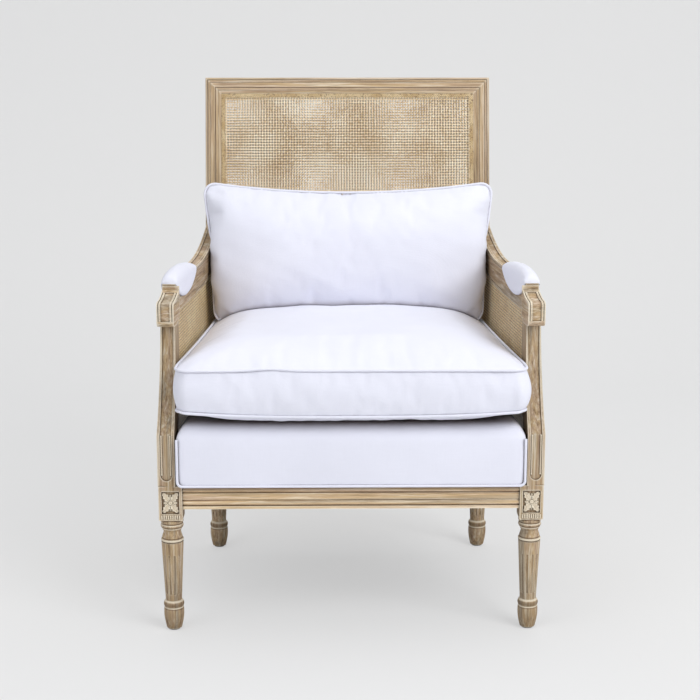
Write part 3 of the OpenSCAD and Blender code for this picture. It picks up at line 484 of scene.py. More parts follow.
def enter(piece: Piece, finish: Finish, slot: str, body: str, *nodes: str) -> Piece:
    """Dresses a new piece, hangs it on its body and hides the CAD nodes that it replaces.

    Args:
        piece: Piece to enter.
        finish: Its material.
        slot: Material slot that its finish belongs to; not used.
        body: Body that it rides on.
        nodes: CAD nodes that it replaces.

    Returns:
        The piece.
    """
    dress(piece, finish)
    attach(piece, body)
    if nodes:
        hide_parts(*nodes)
    return piece


# ---- finishes ----------------------------------------------------------------------------------


class Bench:
    """Adds shader nodes to one material and joins them."""

    def __init__(self, name: str) -> None:
        """Starts a material with an empty principled shader.

        Args:
            name: Name of the material.
        """
        self.material = bpy.data.materials.new(name)
        self.material.use_nodes = True
        self.tree = self.material.node_tree
        self.shader = self.tree.nodes["Principled BSDF"]
        self.coords = self.tree.nodes.new("ShaderNodeTexCoord").outputs["Object"]

    def add(self, kind: str, **settings: object) -> bpy.types.Node:
        """Adds a node.

        Args:
            kind: Type of the node.
            settings: Properties to set on it.

        Returns:
            The node.
        """
        node = self.tree.nodes.new(kind)
        for key, value in settings.items():
            setattr(node, key, value)
        return node

    def feed(self, value: Socket | float | Sequence[float], socket: Socket) -> None:
        """Links an output to a socket, or sets the socket to a number or a colour.

        Args:
            value: Output, number or colour.
            socket: Socket that takes it.
        """
        if isinstance(value, Socket):
            self.tree.links.new(value, socket)
        elif isinstance(value, (int, float)):
            socket.default_value = value
        else:
            socket.default_value = (*value, 1.0)

    def stretched(self, scale: Sequence[float] = (1, 1, 1), turn: Sequence[float] = (0, 0, 0)) -> Socket:
        """Object coordinates after a turn and a stretch.

        Args:
            scale: Factor along each axis.
            turn: Angles of the turn, in radians.

        Returns:
            The coordinates.
        """
        vector = self.coords
        for key, value in (("Rotation", turn), ("Scale", scale)):
            node = self.add("ShaderNodeMapping", vector_type="POINT")
            node.inputs[key].default_value = value
            self.feed(vector, node.inputs["Vector"])
            vector = node.outputs["Vector"]
        return vector

    def noise(self, vector: Socket, scale: float, detail: float = 3.0, rough: float = 0.55,
              warp: float = 0.0) -> Socket:
        """Noise over the given coordinates.

        Args:
            vector: Coordinates.
            scale: Hollows for each metre, roughly.
            detail: Number of finer layers.
            rough: Strength of the finer layers.
            warp: Distortion.

        Returns:
            The noise, from 0 to 1.
        """
        node = self.add("ShaderNodeTexNoise")
        for key, value in zip(("Scale", "Detail", "Roughness", "Distortion"), (scale, detail, rough, warp)):
            node.inputs[key].default_value = value
        self.feed(vector, node.inputs["Vector"])
        return node.outputs["Fac"]

    def bands(self, direction: str, scale: float, warp: float) -> Socket:
        """Soft bands over the object coordinates.

        Args:
            direction: Axis that the bands follow each other along.
            scale: Size of the bands; BANDS_AT_SCALE_ONE over it is the length of one.
            warp: Distortion.

        Returns:
            The bands, from 0 to 1.
        """
        node = self.add("ShaderNodeTexWave", wave_type="BANDS", bands_direction=direction)
        for key, value in (("Scale", scale), ("Distortion", warp), ("Detail", 1.0)):
            node.inputs[key].default_value = value
        self.feed(self.coords, node.inputs["Vector"])
        return node.outputs["Fac"]

    def open_share(self, reach: float, **settings: object) -> Socket:
        """How open the surface is to what is round it.

        Args:
            reach: Distance at which nothing counts any more.
            settings: Properties of the occlusion node.

        Returns:
            The share, from 0 in a deep hollow to 1 in the open.
        """
        node = self.add("ShaderNodeAmbientOcclusion", samples=HIDDEN_SAMPLES, **settings)
        node.inputs["Distance"].default_value = reach
        return node.outputs["AO"]

    def ramp(self, value: Socket, stops: Sequence[tuple[float, Sequence[float]]]) -> Socket:
        """Turns a value into a colour.

        Args:
            value: Value to turn.
            stops: Places on the ramp, each with its colour.

        Returns:
            The colour.
        """
        node = self.add("ShaderNodeValToRGB")
        band = node.color_ramp
        while len(band.elements) < len(stops):
            band.elements.new(0.5)
        for element, (place, colour) in zip(band.elements, stops):
            element.position = place
            element.color = (*colour, 1.0)
        self.feed(value, node.inputs["Fac"])
        return node.outputs["Color"]

    def scalar(self, value: Socket, low: float, high: float, to_low: float, to_high: float) -> Socket:
        """Maps a value from one range to another, held at both ends.

        Args:
            value: Value to map.
            low: Value that gives to_low.
            high: Value that gives to_high.
            to_low: Result at the low end.
            to_high: Result at the high end.

        Returns:
            The mapped value.
        """
        node = self.add("ShaderNodeMapRange", clamp=True)
        for key, number in zip(("From Min", "From Max", "To Min", "To Max"), (low, high, to_low, to_high)):
            node.inputs[key].default_value = number
        self.feed(value, node.inputs["Value"])
        return node.outputs["Result"]

    def mix(self, share: Socket | float, a: Socket | Sequence[float], b: Socket | Sequence[float],
            how: str = "MIX") -> Socket:
        """Blends two colours.

        Args:
            share: Share of the second colour.
            a: First colour.
            b: Second colour.
            how: Way of blending.

        Returns:
            The blended colour.
        """
        node = self.add("ShaderNodeMix", data_type="RGBA", blend_type=how)
        for value, socket in ((share, node.inputs[0]), (a, node.inputs[6]), (b, node.inputs[7])):
            self.feed(value, socket)
        return node.outputs[2]

    def combine(self, operation: str, a: Socket, b: Socket | float) -> Socket:
        """Joins two values by a sum, product or the like.

        Args:
            operation: Name of the operation.
            a: First value.
            b: Second value.

        Returns:
            The result.
        """
        node = self.add("ShaderNodeMath", operation=operation)
        self.feed(a, node.inputs[0])
        self.feed(b, node.inputs[1])
        return node.outputs[0]

    def total(self, a: Socket, share_a: float, b: Socket, share_b: float = 1.0) -> Socket:
        """Adds two values, each by its share.

        Args:
            a: First value.
            share_a: Its share.
            b: Second value.
            share_b: Its share.

        Returns:
            The sum.
        """
        second = b if share_b == 1.0 else self.combine("MULTIPLY", b, share_b)
        return self.combine("ADD", self.combine("MULTIPLY", a, share_a), second)

    def bump(self, height: Socket, depth: float, strength: float) -> Socket:
        """Raises the surface by a height map.

        Args:
            height: Height, from 0 to 1.
            depth: Height of 1 in metres.
            strength: Strength of the effect.

        Returns:
            The bumped normal.
        """
        node = self.add("ShaderNodeBump")
        node.inputs["Distance"].default_value = depth
        node.inputs["Strength"].default_value = strength
        self.feed(height, node.inputs["Height"])
        return node.outputs["Normal"]

    def made(self, colour: Socket, normal: Socket, **gloss: Socket | float) -> Finish:
        """Feeds the shader.

        Args:
            colour: Base colour.
            normal: Bumped normal.
            gloss: Values of the shader's other sockets, with _ for each space in their names.

        Returns:
            The finished material.
        """
        for key, value in {"Base_Color": colour, "Normal": normal, **gloss}.items():
            self.feed(value, self.shader.inputs[key.replace("_", " ")])
        return self.material


@dataclass(frozen=True)
class LimedOak:
    """Weathered limed oak, pale on its edges as lime and painted highlight, dark in its grooves as dirt and
    painted shade, with painted shade where other parts lie near.
    """

    grain: Grain
    dark: Colour = (0.19, 0.118, 0.062)
    golden: Colour = (0.545, 0.385, 0.212)
    rosy: Colour = (0.52, 0.375, 0.255)
    grey: Colour = (0.43, 0.345, 0.245)
    lime: Colour = (0.80, 0.72, 0.575)
    # Dark of the grooves and quirks: partly dirt and wax, partly painted shade.
    groove_dirt_and_shade: Colour = (0.12, 0.070, 0.034)
    # Painted shade: tint laid over the oak where other parts lie near.
    painted_shade_tint: Colour = (0.36, 0.31, 0.25)
    carved_lime: float = 0.55
    edge_reach: float = 0.0034
    groove_reach: float = 0.0042
    painted_shade_reach: float = 0.20
    # Height of each ring round a leg, half its width, and its share of lime with painted highlight; below 0,
    # its share of dirt with painted shade.
    rings: tuple[Triple, ...] = (
        (0.2060, 0.0013, -0.85), (0.2040, 0.0014, 0.75), (0.1996, 0.0016, -0.80), (0.1966, 0.0014, 0.80),
        (0.1781, 0.0013, -0.70), (0.1745, 0.0026, 0.85), (0.1706, 0.0014, -0.60),
        (0.0560, 0.0022, 0.75), (0.0502, 0.0042, -0.55), (0.0438, 0.0017, 0.90), (0.0412, 0.0014, -0.50))

    def _tone_and_shade(self) -> float:
        """How light each timber is painted beside the crest rail: partly its own tone, partly painted light
        and shade for how much light the piece catches.
        """
        return {Grain.UPRIGHT: 0.86, Grain.ARM: 0.92, Grain.LEANING: 0.94, Grain.SEAT_RAIL: 1.30,
                Grain.CARVED: 1.05}.get(self.grain, 1.0)

    def _run(self) -> Triple:
        """How much the grain is drawn out along each axis: small numbers give long streaks."""
        return {Grain.ACROSS: (0.03, 1, 1), Grain.SEAT_RAIL: (0.03, 1, 1), Grain.ALONG_SEAT: (1, 0.03, 1),
                Grain.ARM: (0.22, 0.05, 1)}.get(self.grain, (1, 1, 0.03))

    def _ringed_lime_and_shade(self, bench: Bench, colour: Socket) -> Socket:
        """Lays lime and wax in the quirks that the lathe cut round the legs, with painted shade in the quirks
        and painted highlight on the beads.

        Args:
            bench: Bench of the material.
            colour: Colour of the timber so far.

        Returns:
            Colour with pale and dark rings at the heights of the legs' beads.
        """
        split = bench.add("ShaderNodeSeparateXYZ")
        bench.feed(bench.coords, split.inputs["Vector"])
        for height, half, share in self.rings:
            away = bench.combine("ABSOLUTE", bench.combine("SUBTRACT", split.outputs["Z"], height), 0.0)
            near = bench.scalar(away, 0.45 * half, half, abs(share), 0.0)
            colour = bench.mix(near, colour, self.lime if share > 0 else self.groove_dirt_and_shade)
        return colour

    def _aged_and_shaded(self, bench: Bench, colour: Socket) -> Socket:
        """Rubs lime onto the edges, partly as painted highlight, lays dirt and painted shade in the hollows,
        and paints shade where other parts lie near.

        Args:
            bench: Bench of the material.
            colour: Colour of the timber so far.

        Returns:
            The aged colour.
        """
        # Lime on the convex edges, partly a painted highlight on the beads and arrises.
        edge = 0.45 if self.grain in (Grain.LEANING, Grain.ACROSS) else 0.90
        rubbed_and_highlit = bench.open_share(self.edge_reach, inside=True, only_local=True)
        colour = bench.mix(bench.scalar(rubbed_and_highlit, 0.52, 0.90, edge, 0.0), colour, self.lime)
        # Dark in the hollows: partly dirt and wax, partly painted shade.
        sunk = bench.scalar(bench.open_share(self.groove_reach), 0.36, 0.84, 0.92, 0.0)
        colour = bench.mix(sunk, colour, self.groove_dirt_and_shade)
        # Painted shade where other parts lie near: under the arms, beside the cushions, on the rear legs under
        # the seat.
        painted_shade_share = bench.scalar(bench.open_share(self.painted_shade_reach), 0.30, 0.92, 0.62, 0.0)
        return bench.mix(painted_shade_share, colour, bench.mix(1.0, colour, self.painted_shade_tint, "MULTIPLY"))

    def make(self) -> Finish:
        """Builds the material.

        Returns:
            The material.
        """
        bench = Bench(f"limed_oak_{self.grain.value}")
        run = bench.stretched(self._run(), (PLAN.rake if self.grain is Grain.LEANING else 0, 0, 0))
        broad = bench.noise(run, 55.0, 2.0, 0.5, 0.4)
        streak = bench.noise(run, 240.0, 3.0, 0.6, 0.2)
        pores = bench.noise(run, 700.0, 2.0, 0.6)
        colour = bench.ramp(broad, [(0.34, self.grey), (0.46, self.golden), (0.58, self.rosy),
                                    (0.70, self.golden)])
        streaked = {Grain.SEAT_RAIL: 0.50, Grain.ACROSS: 0.64}.get(self.grain, 0.80)
        for figure, window, tint in ((streak, (0.30, 0.48, streaked, 0.0), self.dark),
                                     (streak, (0.53, 0.70, 0.0, 0.75), self.lime),
                                     (pores, (0.30, 0.43, 0.62, 0.0), self.dark),
                                     (pores, (0.58, 0.70, 0.0, 0.45), self.lime)):
            colour = bench.mix(bench.scalar(figure, *window), colour, tint)
        colour = bench.mix(1.0, colour, (self._tone_and_shade(),) * 3, "MULTIPLY")
        if self.grain is Grain.CARVED:
            colour = bench.mix(self.carved_lime, colour, self.lime)
        if self.grain in (Grain.UPRIGHT, Grain.LEANING):
            colour = self._ringed_lime_and_shade(bench, colour)
        normal = bench.bump(bench.total(streak, 0.6, pores, 0.5), 0.0005, 0.6)
        return bench.made(self._aged_and_shaded(bench, colour), normal,
                          Roughness=bench.scalar(streak, 0.3, 0.7, 0.76, 0.60), Specular_IOR_Level=0.3)


@dataclass(frozen=True)
class CaneSkin:
    """Natural cane, split into flat strands that are glossy outside; their back sides are painted dark as the
    shade between two sheets of cane.
    """

    name: str = "cane"
    dark: Colour = (0.46, 0.29, 0.135)
    light: Colour = (0.80, 0.61, 0.375)
    pale: Colour = (0.96, 0.85, 0.66)
    # Painted shade: the colour of the strands' back sides, dark as the space between two sheets.
    inner: Colour = (0.060, 0.032, 0.013)

    def make(self) -> Finish:
        """Builds the material.

        Returns:
            The material.
        """
        bench = Bench(self.name)
        patches = bench.noise(bench.stretched(), 14.0, 3.0, 0.6)
        strands = bench.noise(bench.stretched(), 330.0, 2.0, 0.65)
        colour = bench.ramp(bench.total(patches, 0.35, strands, 0.65),
                            [(0.38, self.dark), (0.49, self.light), (0.60, self.pale)])
        # Back sides of the strands take the painted shade colour.
        inside = bench.add("ShaderNodeNewGeometry").outputs["Backfacing"]
        return bench.made(bench.mix(inside, colour, self.inner), bench.bump(strands, 0.0004, 0.6),
                          Roughness=0.42)


@dataclass(frozen=True)
class WrappedReed:
    """Reed bound with thin cane, so that slanting bands run round it."""

    dark: Colour = (0.13, 0.072, 0.030)
    light: Colour = (0.60, 0.42, 0.20)
    pale: Colour = (0.80, 0.63, 0.37)
    bands: float = 150.0

    def make(self) -> Finish:
        """Builds the material.

        Returns:
            The material.
        """
        bench = Bench("reed")
        bound = bench.bands("DIAGONAL", self.bands, 1.2)
        flecks = bench.noise(bench.stretched(), 300.0, 2.0, 0.6)
        patches = bench.noise(bench.stretched(), 30.0, 3.0, 0.6)
        colour = bench.ramp(patches, [(0.38, self.light), (0.62, self.pale)])
        colour = bench.mix(bench.scalar(bound, 0.05, 0.45, 0.75, 0.0), colour, self.dark)
        colour = bench.mix(bench.scalar(flecks, 0.36, 0.44, 0.80, 0.0), colour, self.dark)
        return bench.made(colour, bench.bump(bench.total(bound, 0.8, flecks), 0.0007, 0.8), Roughness=0.5)


@dataclass(frozen=True)
class Linen:
    """Plain woven linen with uneven yarns, in shade where it nears another piece."""

    name: str = "linen"
    colour: Colour = (0.815, 0.822, 0.918)
    yarn: float = 0.0011
    depth: float = 0.00035
    shade: Colour = (0.36, 0.33, 0.35)
    reach: float = 0.014
    gap_share: float = 0.55

    def make(self) -> Finish:
        """Builds the material.

        Returns:
            The material.
        """
        bench = Bench(self.name)
        waves = [bench.bands(axis, BANDS_AT_SCALE_ONE / self.yarn, 0.35) for axis in ("X", "Y", "Z")]
        weave = bench.combine("ADD", bench.combine("ADD", waves[0], waves[1]), waves[2])
        thick = bench.noise(bench.stretched((0.05, 1, 1)), 700.0, 2.0)
        slubs = bench.noise(bench.stretched((1, 1, 0.05)), 700.0, 2.0)
        yarns = bench.combine("ADD", thick, slubs)
        cloud = bench.noise(bench.stretched(), 7.0, 3.0)
        tone = bench.scalar(bench.total(yarns, 0.35, cloud), 0.6, 1.2, 0.94, 1.0)
        tint = bench.add("ShaderNodeCombineColor")
        for socket in tint.inputs[:3]:
            bench.feed(tone, socket)
        colour = bench.mix(1.0, self.colour, tint.outputs["Color"], "MULTIPLY")
        # Painted shade where another piece lies near the linen.
        gap = bench.scalar(bench.open_share(self.reach), 0.15, 0.72, self.gap_share, 0.0)
        normal = bench.bump(bench.total(weave, 0.22, yarns, 0.7), self.depth, 0.5)
        return bench.made(bench.mix(gap, colour, self.shade), normal, Roughness=0.92, Sheen_Weight=0.18,
                          Specular_IOR_Level=0.15)


@dataclass(frozen=True)
class PlainFinish:
    """A finish for the small or hidden pieces, with a little grain of its own."""

    name: str
    colour: Colour
    rough: float
    metal: float
    size: float
    stretch: Triple = (1.0, 1.0, 1.0)

    def make(self) -> Finish:
        """Builds the material.

        Returns:
            The material.
        """
        bench = Bench(self.name)
        grain = bench.noise(bench.stretched(self.stretch), self.size, 4.0)
        dark = tuple(0.72 * c for c in self.colour)
        light = tuple(min(1.0, 1.15 * c) for c in self.colour)
        return bench.made(bench.ramp(grain, [(0.3, dark), (0.7, light)]), bench.bump(grain, 0.0003, 0.5),
                          Roughness=self.rough, Metallic=self.metal)


# ---- timber ------------------------------------------------------------------------------------


@dataclass
class TimberFrame:
    """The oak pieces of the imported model, each with the grain that its timber has."""

    grains: dict[str, Grain] = field(default_factory=lambda: {
        "front_post_left": Grain.UPRIGHT, "front_post_right": Grain.UPRIGHT,
        "rear_post_left": Grain.LEANING, "rear_post_right": Grain.LEANING,
        "crest_rail": Grain.ACROSS, "back_lower_rail": Grain.ACROSS,
        "front_seat_rail": Grain.SEAT_RAIL, "rear_seat_rail": Grain.ACROSS,
        "side_seat_rail_left": Grain.ALONG_SEAT, "side_seat_rail_right": Grain.ALONG_SEAT,
        "arm_left": Grain.ARM, "arm_right": Grain.ARM})

    def dress(self) -> dict[Grain, Finish]:
        """Gives each timber its oak, and each hidden or metal piece its finish.

        Returns:
            The oak for each grain.
        """
        oak = {grain: LimedOak(grain).make() for grain in Grain}
        for node, grain in self.grains.items():
            dress(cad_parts[node], oak[grain])
        raw = PlainFinish("raw_oak", (0.34, 0.23, 0.13), 0.7, 0.0, 90.0, (0.1, 1, 1)).make()
        steel = PlainFinish("screw_steel", (0.45, 0.44, 0.42), 0.4, 1.0, 500.0).make()
        glide = PlainFinish("glide_steel", (0.38, 0.36, 0.33), 0.45, 1.0, 400.0).make()
        for node, finish in (("arm_dowels", raw), ("corner_blocks", raw), ("corner_screws", steel),
                             ("foot_glides", glide)):
            dress(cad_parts[node], finish)
        return oak


@dataclass
class CarvedBlocks:
    """Leaf rosette in the panel of each front block, and the gouged band under it.

    The parts of the carving are laid out as rows of (across, up, out) from the rosette's middle.
    """

    panel_z: float = 0.249
    floor: float = 0.0024
    leaf_long: float = 0.0205
    leaf_wide: float = 0.0122
    leaf_rise: float = 0.0012
    small_long: tuple[float, ...] = (0.0135, 0.0105, 0.0135, 0.0105)
    small_wide: float = 0.0066
    small_rise: float = 0.0002
    leaf_root: float = 0.003
    button_r: float = 0.0042
    button_high: float = 0.0022
    button_hollow: float = 0.0012
    gouges: int = 9
    band_wide: float = 0.036
    band_low: float = -0.0315
    band_high: float = 0.0082
    gouge_out: float = 0.0019

    def _leaf(self, turn: float, long: float, wide: float, high: float) -> Mesh:
        """One cupped leaf with a vein and lobed edges.

        Args:
            turn: Way that the leaf points, in radians from straight up.
            long: Length of the leaf.
            wide: Width of the leaf.
            high: Height of its edges above the panel's floor.

        Returns:
            The leaf's points and faces.
        """
        rows, columns = 19, 13
        t, q = np.meshgrid(np.linspace(0, 1, rows), np.linspace(-1, 1, columns), indexing="ij")
        half = wide / 2 * np.maximum(np.sin(np.pi * np.minimum(1.0, 0.08 + 0.92 * t) ** 0.85), 0) ** 0.7
        lobed = 1 + 0.20 * np.cos(t * 3.5 * 2 * np.pi)
        half = np.maximum(half * lobed, wide * 0.04)
        edge = (1.1 * np.maximum(0, np.abs(q) - 0.86) / 0.14) ** 2 * 0.75
        out = high * (0.35 + 0.65 * np.sin(np.pi * (0.15 + 0.75 * t)))
        out *= 0.62 + 0.55 * np.abs(q) ** 1.3 - edge
        out += 0.30 * high * np.exp(-(q / 0.16) ** 2)
        x, y = q * half, self.leaf_root + t * long
        across, up = x * math.cos(turn) + y * math.sin(turn), -x * math.sin(turn) + y * math.cos(turn)
        return np.stack([across, up, out], -1).reshape(-1, 3), strip_faces(rows, columns)

    def _button(self) -> Mesh:
        """The round button in the middle, dished at its centre.

        Returns:
            The button's points and faces.
        """
        rings, spokes = 7, 20
        t, a = np.meshgrid(np.linspace(0, 1, rings), np.arange(spokes) * 2 * np.pi / spokes, indexing="ij")
        r = self.button_r * t * (1 + 0.08 * np.cos(a * 6) * t)
        dome = self.button_high * np.sqrt(np.maximum(0, 1 - (t * 0.97) ** 2))
        out = self.floor + dome - self.button_hollow * np.exp(-(t / 0.3) ** 2)
        out = np.where(t < 1, out, self.floor - 0.001)
        points = np.stack([r * np.cos(a), r * np.sin(a), out], -1).reshape(-1, 3)
        return points, strip_faces(rings, spokes, closed_columns=True)

    def _gouge(self, number: int) -> Mesh:
        """One upright reed of the band.

        Args:
            number: Place of the reed, from the left.

        Returns:
            The reed's points and faces.
        """
        rows, columns = 9, 7
        pitch = self.band_wide / self.gouges
        t, q = np.meshgrid(np.linspace(0, 1, rows), np.linspace(0, np.pi, columns), indexing="ij")
        across = (number - (self.gouges - 1) / 2) * pitch - 0.42 * pitch * np.cos(q)
        out = self.gouge_out * np.sin(q) * np.sin(np.pi * (0.06 + 0.88 * t)) ** 0.35 - 0.0003
        points = np.stack([across, self.band_low + self.band_high * t, out], -1)
        return points.reshape(-1, 3), strip_faces(rows, columns)

    def build(self, side: Side, oak: Finish) -> Piece:
        """Builds the carving of one block.

        Args:
            side: Side of the chair.
            oak: Finish of the carving.

        Returns:
            The carving as one piece.
        """
        leaves = [self._leaf(x * math.radians(36 if z > 0 else 144), self.leaf_long, self.leaf_wide,
                             self.floor + self.leaf_rise) for x in (-1, 1) for z in (-1, 1)]
        leaves += [self._leaf(k * math.pi / 2, long, self.small_wide, self.floor + self.small_rise)
                   for k, long in enumerate(self.small_long)]
        rosette, petals = merged([*leaves, self._button()])
        rosette[:, 2] -= self.floor
        spots, faces = merged([(rosette, petals), *(self._gouge(k) for k in range(self.gouges))])
        place = PLAN.flat(side.value * PLAN.front_x + spots[:, 0], -PLAN.half_block - spots[:, 2],
                          self.panel_z + spots[:, 1])
        return enter(build_mesh(f"carving_{side.name.lower()}", place, faces), oak, "oak", "frame")


# ---- cane --------------------------------------------------------------------------------------


@dataclass(frozen=True)
class Weave:
    """Six-way cane: pairs of upright and level strands with two slanting sets between them."""

    pitch: float = 0.0058
    strand: float = 0.00090
    pair_gap: float = 0.00058
    slant: float = 0.00070
    lift: float = 0.00026
    slant_lift: float = 0.00012
    start: tuple[float, float] = (0.0, 0.0)

    def _strand(self, middle: np.ndarray, sideways: Sequence[float], out: np.ndarray,
                width: float) -> np.ndarray:
        """One flat strand.

        Args:
            middle: Places along its middle, as rows of (across, up).
            sideways: Direction across the strand.
            out: Height of each place.
            width: Width of the strand.

        Returns:
            Four corners for each length of it.
        """
        half = np.array(sideways) * width / 2
        left, right = np.column_stack([middle - half, out]), np.column_stack([middle + half, out])
        return np.stack([left[:-1], right[:-1], right[1:], left[1:]], 1)

    def _straight(self, origin: Sequence[float], counts: Sequence[int], axis: int) -> list[np.ndarray]:
        """The pairs of strands of one straight set.

        Args:
            origin: Lower left corner of the weave.
            counts: Number of meshes across and up.
            axis: 0 for the upright set, 1 for the level one.

        Returns:
            Corners of each strand.
        """
        way = 1 - 2 * axis
        steps = np.arange(counts[1 - axis] + 1)
        middle = np.empty((len(steps), 2))
        middle[:, 1 - axis] = origin[1 - axis] + self.pitch * steps
        strands = []
        for k in range(counts[axis] + 1):
            out = way * self.lift * np.where((steps + k) % 2 == 0, 1.0, -1.0)
            for s in (-1, 1):
                middle[:, axis] = origin[axis] + self.pitch * k + s * self.pair_gap
                strands.append(self._strand(middle, (1 - axis, -axis), out, self.strand))
        return strands

    def _slanting(self, origin: Sequence[float], counts: Sequence[int], way: int) -> list[np.ndarray]:
        """The strands of one slanting set.

        Args:
            origin: Lower left corner of the weave.
            counts: Number of meshes across and up.
            way: 1 where the strands rise to the right, -1 where they rise to the left.

        Returns:
            Corners of each strand.
        """
        columns, rows = counts
        steps = np.arange(rows + 1)
        strands = []
        for k in range(-rows, columns):
            u = (k if way == 1 else k + rows) + 0.5 + way * steps
            keep = (u >= -0.001) & (u <= columns + 0.001)
            if keep.sum() >= 2:
                middle = np.array(origin) + self.pitch * np.column_stack([u, steps])[keep]
                out = np.full(len(middle), self.slant_lift * way)
                strands.append(self._strand(middle, (math.sqrt(0.5), -way * math.sqrt(0.5)), out, self.slant))
        return strands

    def strands(self, low: Sequence[float], high: Sequence[float],
                inside: Callable[[np.ndarray, np.ndarray], np.ndarray] | None = None
                ) -> tuple[np.ndarray, np.ndarray]:
        """Lays the strands over a rectangle.

        Args:
            low: Lower left corner of the rectangle.
            high: Upper right corner.
            inside: Says which places hold cane; all do if it is left out.

        Returns:
            Points as rows of (across, up, out), and the corner numbers of the faces.
        """
        origin = np.array(low) + self.start
        counts = [int(length / self.pitch) for length in np.array(high) - origin]
        quads = np.concatenate([
            *self._straight(origin, counts, 0), *self._straight(origin, counts, 1),
            *self._slanting(origin, counts, 1), *self._slanting(origin, counts, -1)])
        if inside is not None:
            centre = quads.mean(1)
            quads = quads[inside(centre[:, 0], centre[:, 1])]
        return quads.reshape(-1, 3), np.arange(len(quads) * 4).reshape(-1, 4)


@dataclass
class BackCane:
    """The two sheets of cane in the back and the reed splines that hold them."""

    weave: Weave = Weave()
    rear_weave: Weave = Weave(pitch=0.00567, strand=0.0012, pair_gap=0.00078, slant=0.00105,
                              start=(-0.0016, -0.0001))
    lower: float = 0.143
    tuck: float = 0.0045
    front_depth: float = 0.0034
    rear_depth: float = 0.0346
    front_spline_depth: float = 0.0028
    rear_spline_depth: float = 0.0352
    spline_width: float = 0.0092
    spline_high: float = 0.0026
    spline_sunk: float = 0.0022
    spline_out: float = 0.0034

    def _sheet(self, name: str, node: str, weave: Weave, depth: float, facing: int, cane: Finish) -> Piece:
        """Builds one sheet.

        Args:
            name: Name of the sheet.
            node: CAD node that it replaces.
            weave: Its weave.
            depth: Its distance into the back.
            facing: 1 where its good side faces the front, -1 where it faces the rear; the other side shows the
                painted shade of the cane's back side.
            cane: Its finish.

        Returns:
            The sheet.
        """
        half = PLAN.back_open + self.tuck
        points, faces = weave.strands((-half, self.lower - self.tuck), (half, PLAN.back_open_top + self.tuck))
        place = PLAN.lean(points[:, 0], depth - facing * points[:, 2], points[:, 1])
        return enter(build_mesh(name, place, faces[:, ::facing], smooth=False), cane, "cane", "frame", node)

    def _spline(self, name: str, node: str, depth: float, facing: int, reed: Finish) -> Piece:
        """Builds the reed round one sheet, half round and mitred at its corners.

        Args:
            name: Name of the reed.
            node: CAD node that it replaces.
            depth: Its distance into the back.
            facing: 1 where it faces the front, -1 where it faces the rear.
            reed: Its finish.

        Returns:
            The reed.
        """
        across, steps = 9, 40
        angle = math.pi * np.arange(across) / (across - 1)
        off = self.spline_out + self.spline_width / 2 * (0.52 - np.cos(angle))
        out = self.spline_high * np.sin(angle) ** 0.6 - self.spline_sunk
        corners = [(x * (PLAN.back_open + off), (PLAN.back_open_top if z > 0 else self.lower) + z * off)
                   for x, z in ((-1, -1), (1, -1), (1, 1), (-1, 1))]
        rows = []
        for (x0, z0), (x1, z1) in zip(corners, corners[1:] + corners[:1]):
            for k in range(steps):
                t = k / steps
                rows.append(np.column_stack([x0 + (x1 - x0) * t, z0 + (z1 - z0) * t, out]))
        spots = np.vstack(rows)
        place = PLAN.lean(spots[:, 0], depth - facing * spots[:, 2], spots[:, 1])
        faces = strip_faces(len(rows), across, closed_rows=True)
        return enter(build_mesh(name, place, faces), reed, "reed", "frame", node)

    def build(self, cane: Finish, reed: Finish) -> list[Piece]:
        """Builds both sheets and both splines.

        Args:
            cane: Finish of the sheets.
            reed: Finish of the splines.

        Returns:
            The four pieces.
        """
        return [
            self._sheet("woven_back_front", "back_cane_front", self.weave, self.front_depth, 1, cane),
            self._sheet("woven_back_rear", "back_cane_rear", self.rear_weave, self.rear_depth, -1, cane),
            self._spline("reed_spline_front", "back_spline_front", self.front_spline_depth, 1, reed),
            self._spline("reed_spline_rear", "back_spline_rear", self.rear_spline_depth, -1, reed),
        ]


